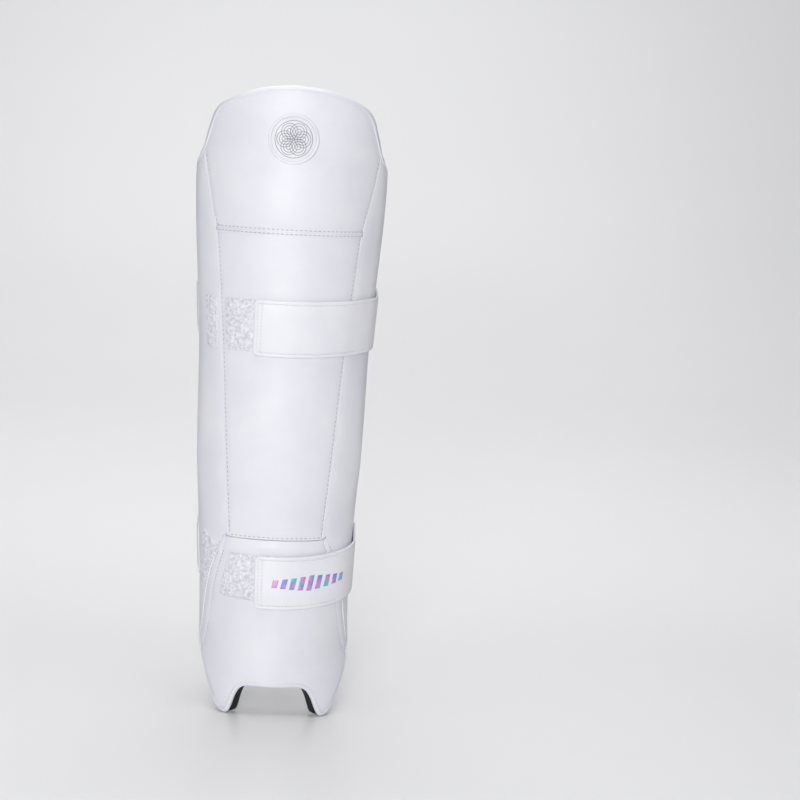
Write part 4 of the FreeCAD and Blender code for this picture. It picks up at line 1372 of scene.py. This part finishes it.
@dataclass
class Inside:
    """The black lining sheet and the padded bolsters sewn on it."""

    sheet_depth: float = 15.2
    inset: float = 3.2
    shoulder: tuple = (82, 565)
    channels: dict = field(default_factory=lambda: {
        "knee_bolster": (470, 505, 540), "left_shin_bolster": (250, 305, 360), "right_shin_bolster": (250, 305, 360),
        "left_foot_pad": (60, 120), "right_foot_pad": (60, 120)})

    def build(self) -> None:
        """Make the lining and every bolster, and dress the layers that stay as they are."""
        self.lining()
        for name in self.channels:
            self.bolster(name)
        dress(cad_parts["core_shell"], CORE)
        for panel in ("knee", "shin", "instep", "left_wing", "right_wing"):
            dress(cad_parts[f"{panel}_foam"], FOAM)

    def lining(self) -> None:
        """The lining sheet, inside the whole rim."""
        edges, lows, tops = {}, {}, {}
        for side in (LEFT, RIGHT):
            rim = LINES.rim(side)
            rim[1:, 0] = LAYERS.deepen(rim[1:, 0], rim[1:, 1], self.sheet_depth)
            for _ in range(12):
                rim[1:-1] = (rim[:-2] + 2 * rim[1:-1] + rim[2:]) / 4
            rim = shifted(rim, -side * self.inset)
            rim[0, 0], rim[-1, 0] = 0, FORM.foot(0, LINES.arch)[0]
            tip = rim[np.argmin(rim[:, 1])]
            spot = np.array(FORM.face(side * self.shoulder[0], self.shoulder[1]))
            shoulder = rim[np.argmin(np.linalg.norm(rim - spot, axis=1))]
            edges[side] = part_of(rim, tip, shoulder)
            lows[side] = part_of(rim, tip, rim[-1])
            tops[side] = part_of(rim, rim[0], shoulder)
        bottom = np.vstack([lows[LEFT], lows[RIGHT][::-1][1:]])
        top = np.vstack([tops[LEFT][::-1], tops[RIGHT][1:]])
        patch = Patch("inner_lining", bottom, top, edges[LEFT], edges[RIGHT], (EdgeKind.HEM,) * 4, 120, 200,
                      depth=self.sheet_depth - 1.5)
        patch.build(LINING, 1.5, "black_lining")

    def bolster(self, name: str) -> None:
        """One bolster, blown up by cloth pressure from its plain solid, then quilted."""
        bm = bmesh.new()
        bm.from_mesh(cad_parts[name].data)
        bmesh.ops.remove_doubles(bm, verts=bm.verts, dist=1e-5)
        piece = finished(bm, f"{name}_padding", LINING)
        remesh = piece.modifiers.new("remesh", "REMESH")
        remesh.mode = "VOXEL"
        remesh.voxel_size = 4 * MM
        remesh.use_smooth_shade = True
        self.bake(piece)
        self.shrink(piece, 1.6)
        self.inflate(piece)
        self.quilt(piece, self.channels[name])
        report(piece, "black_lining", name)

    @staticmethod
    def bake(piece: Object) -> None:
        """Replace a piece's mesh with what its modifiers make of it."""
        graph = bpy.context.evaluated_depsgraph_get()
        made = bpy.data.meshes.new_from_object(piece.evaluated_get(graph))
        piece.modifiers.clear()
        old, piece.data = piece.data, made
        bpy.data.meshes.remove(old)

    @staticmethod
    def shrink(piece: Object, amount: float) -> None:
        """Draw a piece in along its normals."""
        for vert, normal in zip(piece.data.vertices, [v.normal.copy() for v in piece.data.vertices]):
            vert.co -= normal * amount * MM

    def inflate(self, piece: Object, cap: float = 4.5) -> None:
        """Blow a piece up by cloth pressure, with no gravity, and cap how far each point moves."""
        rest = np.array([vert.co for vert in piece.data.vertices])
        cloth = piece.modifiers.new("cloth", "CLOTH")
        cloth.settings.use_pressure = True
        cloth.settings.uniform_pressure_force = 4
        cloth.settings.effector_weights.gravity = 0
        scene = bpy.context.scene
        for step in range(1, 21):
            scene.frame_set(step)
        self.bake(piece)
        scene.frame_set(1)
        moved = np.array([vert.co for vert in piece.data.vertices]) - rest
        far = np.linalg.norm(moved, axis=1, keepdims=True)
        moved *= np.minimum(1, cap * MM / np.maximum(far, 1e-9))
        piece.data.vertices.foreach_set("co", (rest + moved).ravel())

    def quilt(self, piece: Object, channels: tuple) -> None:
        """Sew channels across a bolster, keep it off the lining, and smooth it once more."""
        points = np.array([vert.co for vert in piece.data.vertices]) / MM
        s, z, depth = FORM.locate(points)
        lining = self.sheet_depth + 0.25
        above = np.maximum(depth - lining, 0)
        for level in channels:
            above = above * (1 - 0.62 * ridge(z, level, 3.2))
        piece.data.vertices.foreach_set("co", (FORM.surface(s, z, lining + above) * MM).ravel())
        piece.data.update()
        finer = piece.modifiers.new("finer", "SUBSURF")
        finer.levels = finer.render_levels = 1


@dataclass
class Studio:
    """Pale floor and backdrop, soft lamps and the camera."""

    distance: float = 2.3
    height: float = 0.6
    lens: float = 106.23
    pitch: float = 7.2
    yaw: float = 2.89
    roll: float = 3.04

    def build(self) -> None:
        """Make the floor, lamps, surroundings and camera."""
        self.floor()
        self.lamp("key_lamp", (-0.3, -2.9, 1.0), (0, 0, 0.3), (0.7, 1.3), 47)
        self.lamp("ceiling_lamp", (0, 0.9, 3.0), (0, 0.9, 0), (2.4, 5.2), 88)
        self.lamp("backdrop_lamp", (0, 0.9, 1.6), (0, 3.4, 0.6), (2.4, 2.4), 5)
        world = bpy.data.worlds.new("studio_world")
        bpy.context.scene.world = world
        world.use_nodes = True
        world.node_tree.nodes["Background"].inputs["Color"].default_value = linear("#F0F0F4")
        world.node_tree.nodes["Background"].inputs["Strength"].default_value = 0.14
        bpy.context.scene.view_settings.view_transform = "Standard"
        self.camera()

    def floor(self) -> None:
        """A floor that sweeps up into a backdrop, as one sheet."""
        bm = grid(4, 40)
        front, flat, sweep, total, width = -3000, 5200, 1800, 9000, 12000
        radius = 1146

        def where(u: Array, v: Array) -> Array:
            run = v * total
            bend = np.clip((run - flat) / sweep, 0, 1) * math.pi / 2
            y = front + np.minimum(run, flat) + radius * np.sin(bend)
            z = radius * (1 - np.cos(bend)) + np.maximum(run - flat - sweep, 0)
            return np.stack([(u - 0.5) * width, y, z], -1)

        place(bm, where)
        paper = Finish("studio_paper", "#EDEDEE", "#ECECED", 0.36, mottle=900, grain=3, relief=0.001)
        finished(bm, "studio_floor", paper, outward=False)

    @staticmethod
    def lamp(name: str, spot: tuple, aim: tuple, size: tuple, power: float) -> None:
        """Add one soft lamp with a rectangular window."""
        light = bpy.data.lights.new(name, "AREA")
        light.shape = "RECTANGLE"
        light.size, light.size_y = size
        light.energy = power
        lamp = bpy.data.objects.new(name, light)
        lamp.location = spot
        lamp.rotation_euler = (Vector(aim) - Vector(spot)).to_track_quat("-Z", "Y").to_euler()
        bpy.context.scene.collection.objects.link(lamp)

    def camera(self) -> None:
        """A long lens at knee height, looking a little down, with the pad left of the middle."""
        eye = bpy.data.cameras.new("camera")
        eye.lens = self.lens
        eye.sensor_width = 36
        eye.clip_end = 60
        camera = bpy.data.objects.new("camera", eye)
        camera.location = (0, -self.distance - FORM.setback * MM, self.height)
        aim = Euler((math.radians(90 - self.pitch), 0, math.radians(-self.yaw))).to_matrix()
        camera.rotation_euler = (aim @ Euler((0, 0, math.radians(self.roll))).to_matrix()).to_euler()
        bpy.context.scene.collection.objects.link(camera)
        bpy.context.scene.camera = camera


UPPER = Strap("upper", 378.7, 15, 54.5, 46, -29, (77.6, -29.6), 60, 86.2)
LOWER = Strap("lower", 130, 35, 52, 46, -17.5, (70.2, -28.6), 49, 76.5)
TAPES = (
    LoopTape("upper_front_loop", ((-55.2, 356), (4, 356), (4, 406), (-58, 406))),
    LoopTape("upper_wing_loop", ((-74.1, 356), (-64, 356), (-66.6, 406), (-77.7, 406))),
    LoopTape("lower_front_loop", ((-51, 116), (2, 112.5), (2, 158.5), (-43, 158.5))),
    LoopTape("lower_wing_loop", ((-71.5, 122), (-66.5, 122), (-54.5, 163), (-70.5, 178))),
)


def main() -> None:
    """Build every sub-assembly in order."""
    logging.basicConfig(level=logging.INFO, format="%(message)s")
    Covers().build()
    Binding().build()
    Badge().build()
    for strap in (UPPER, LOWER):
        strap.build()
    Motif(LOWER).build()
    for tape in TAPES:
        tape.build()
    Inside().build()
    Studio().build()


if __name__ == "__main__":
    main()
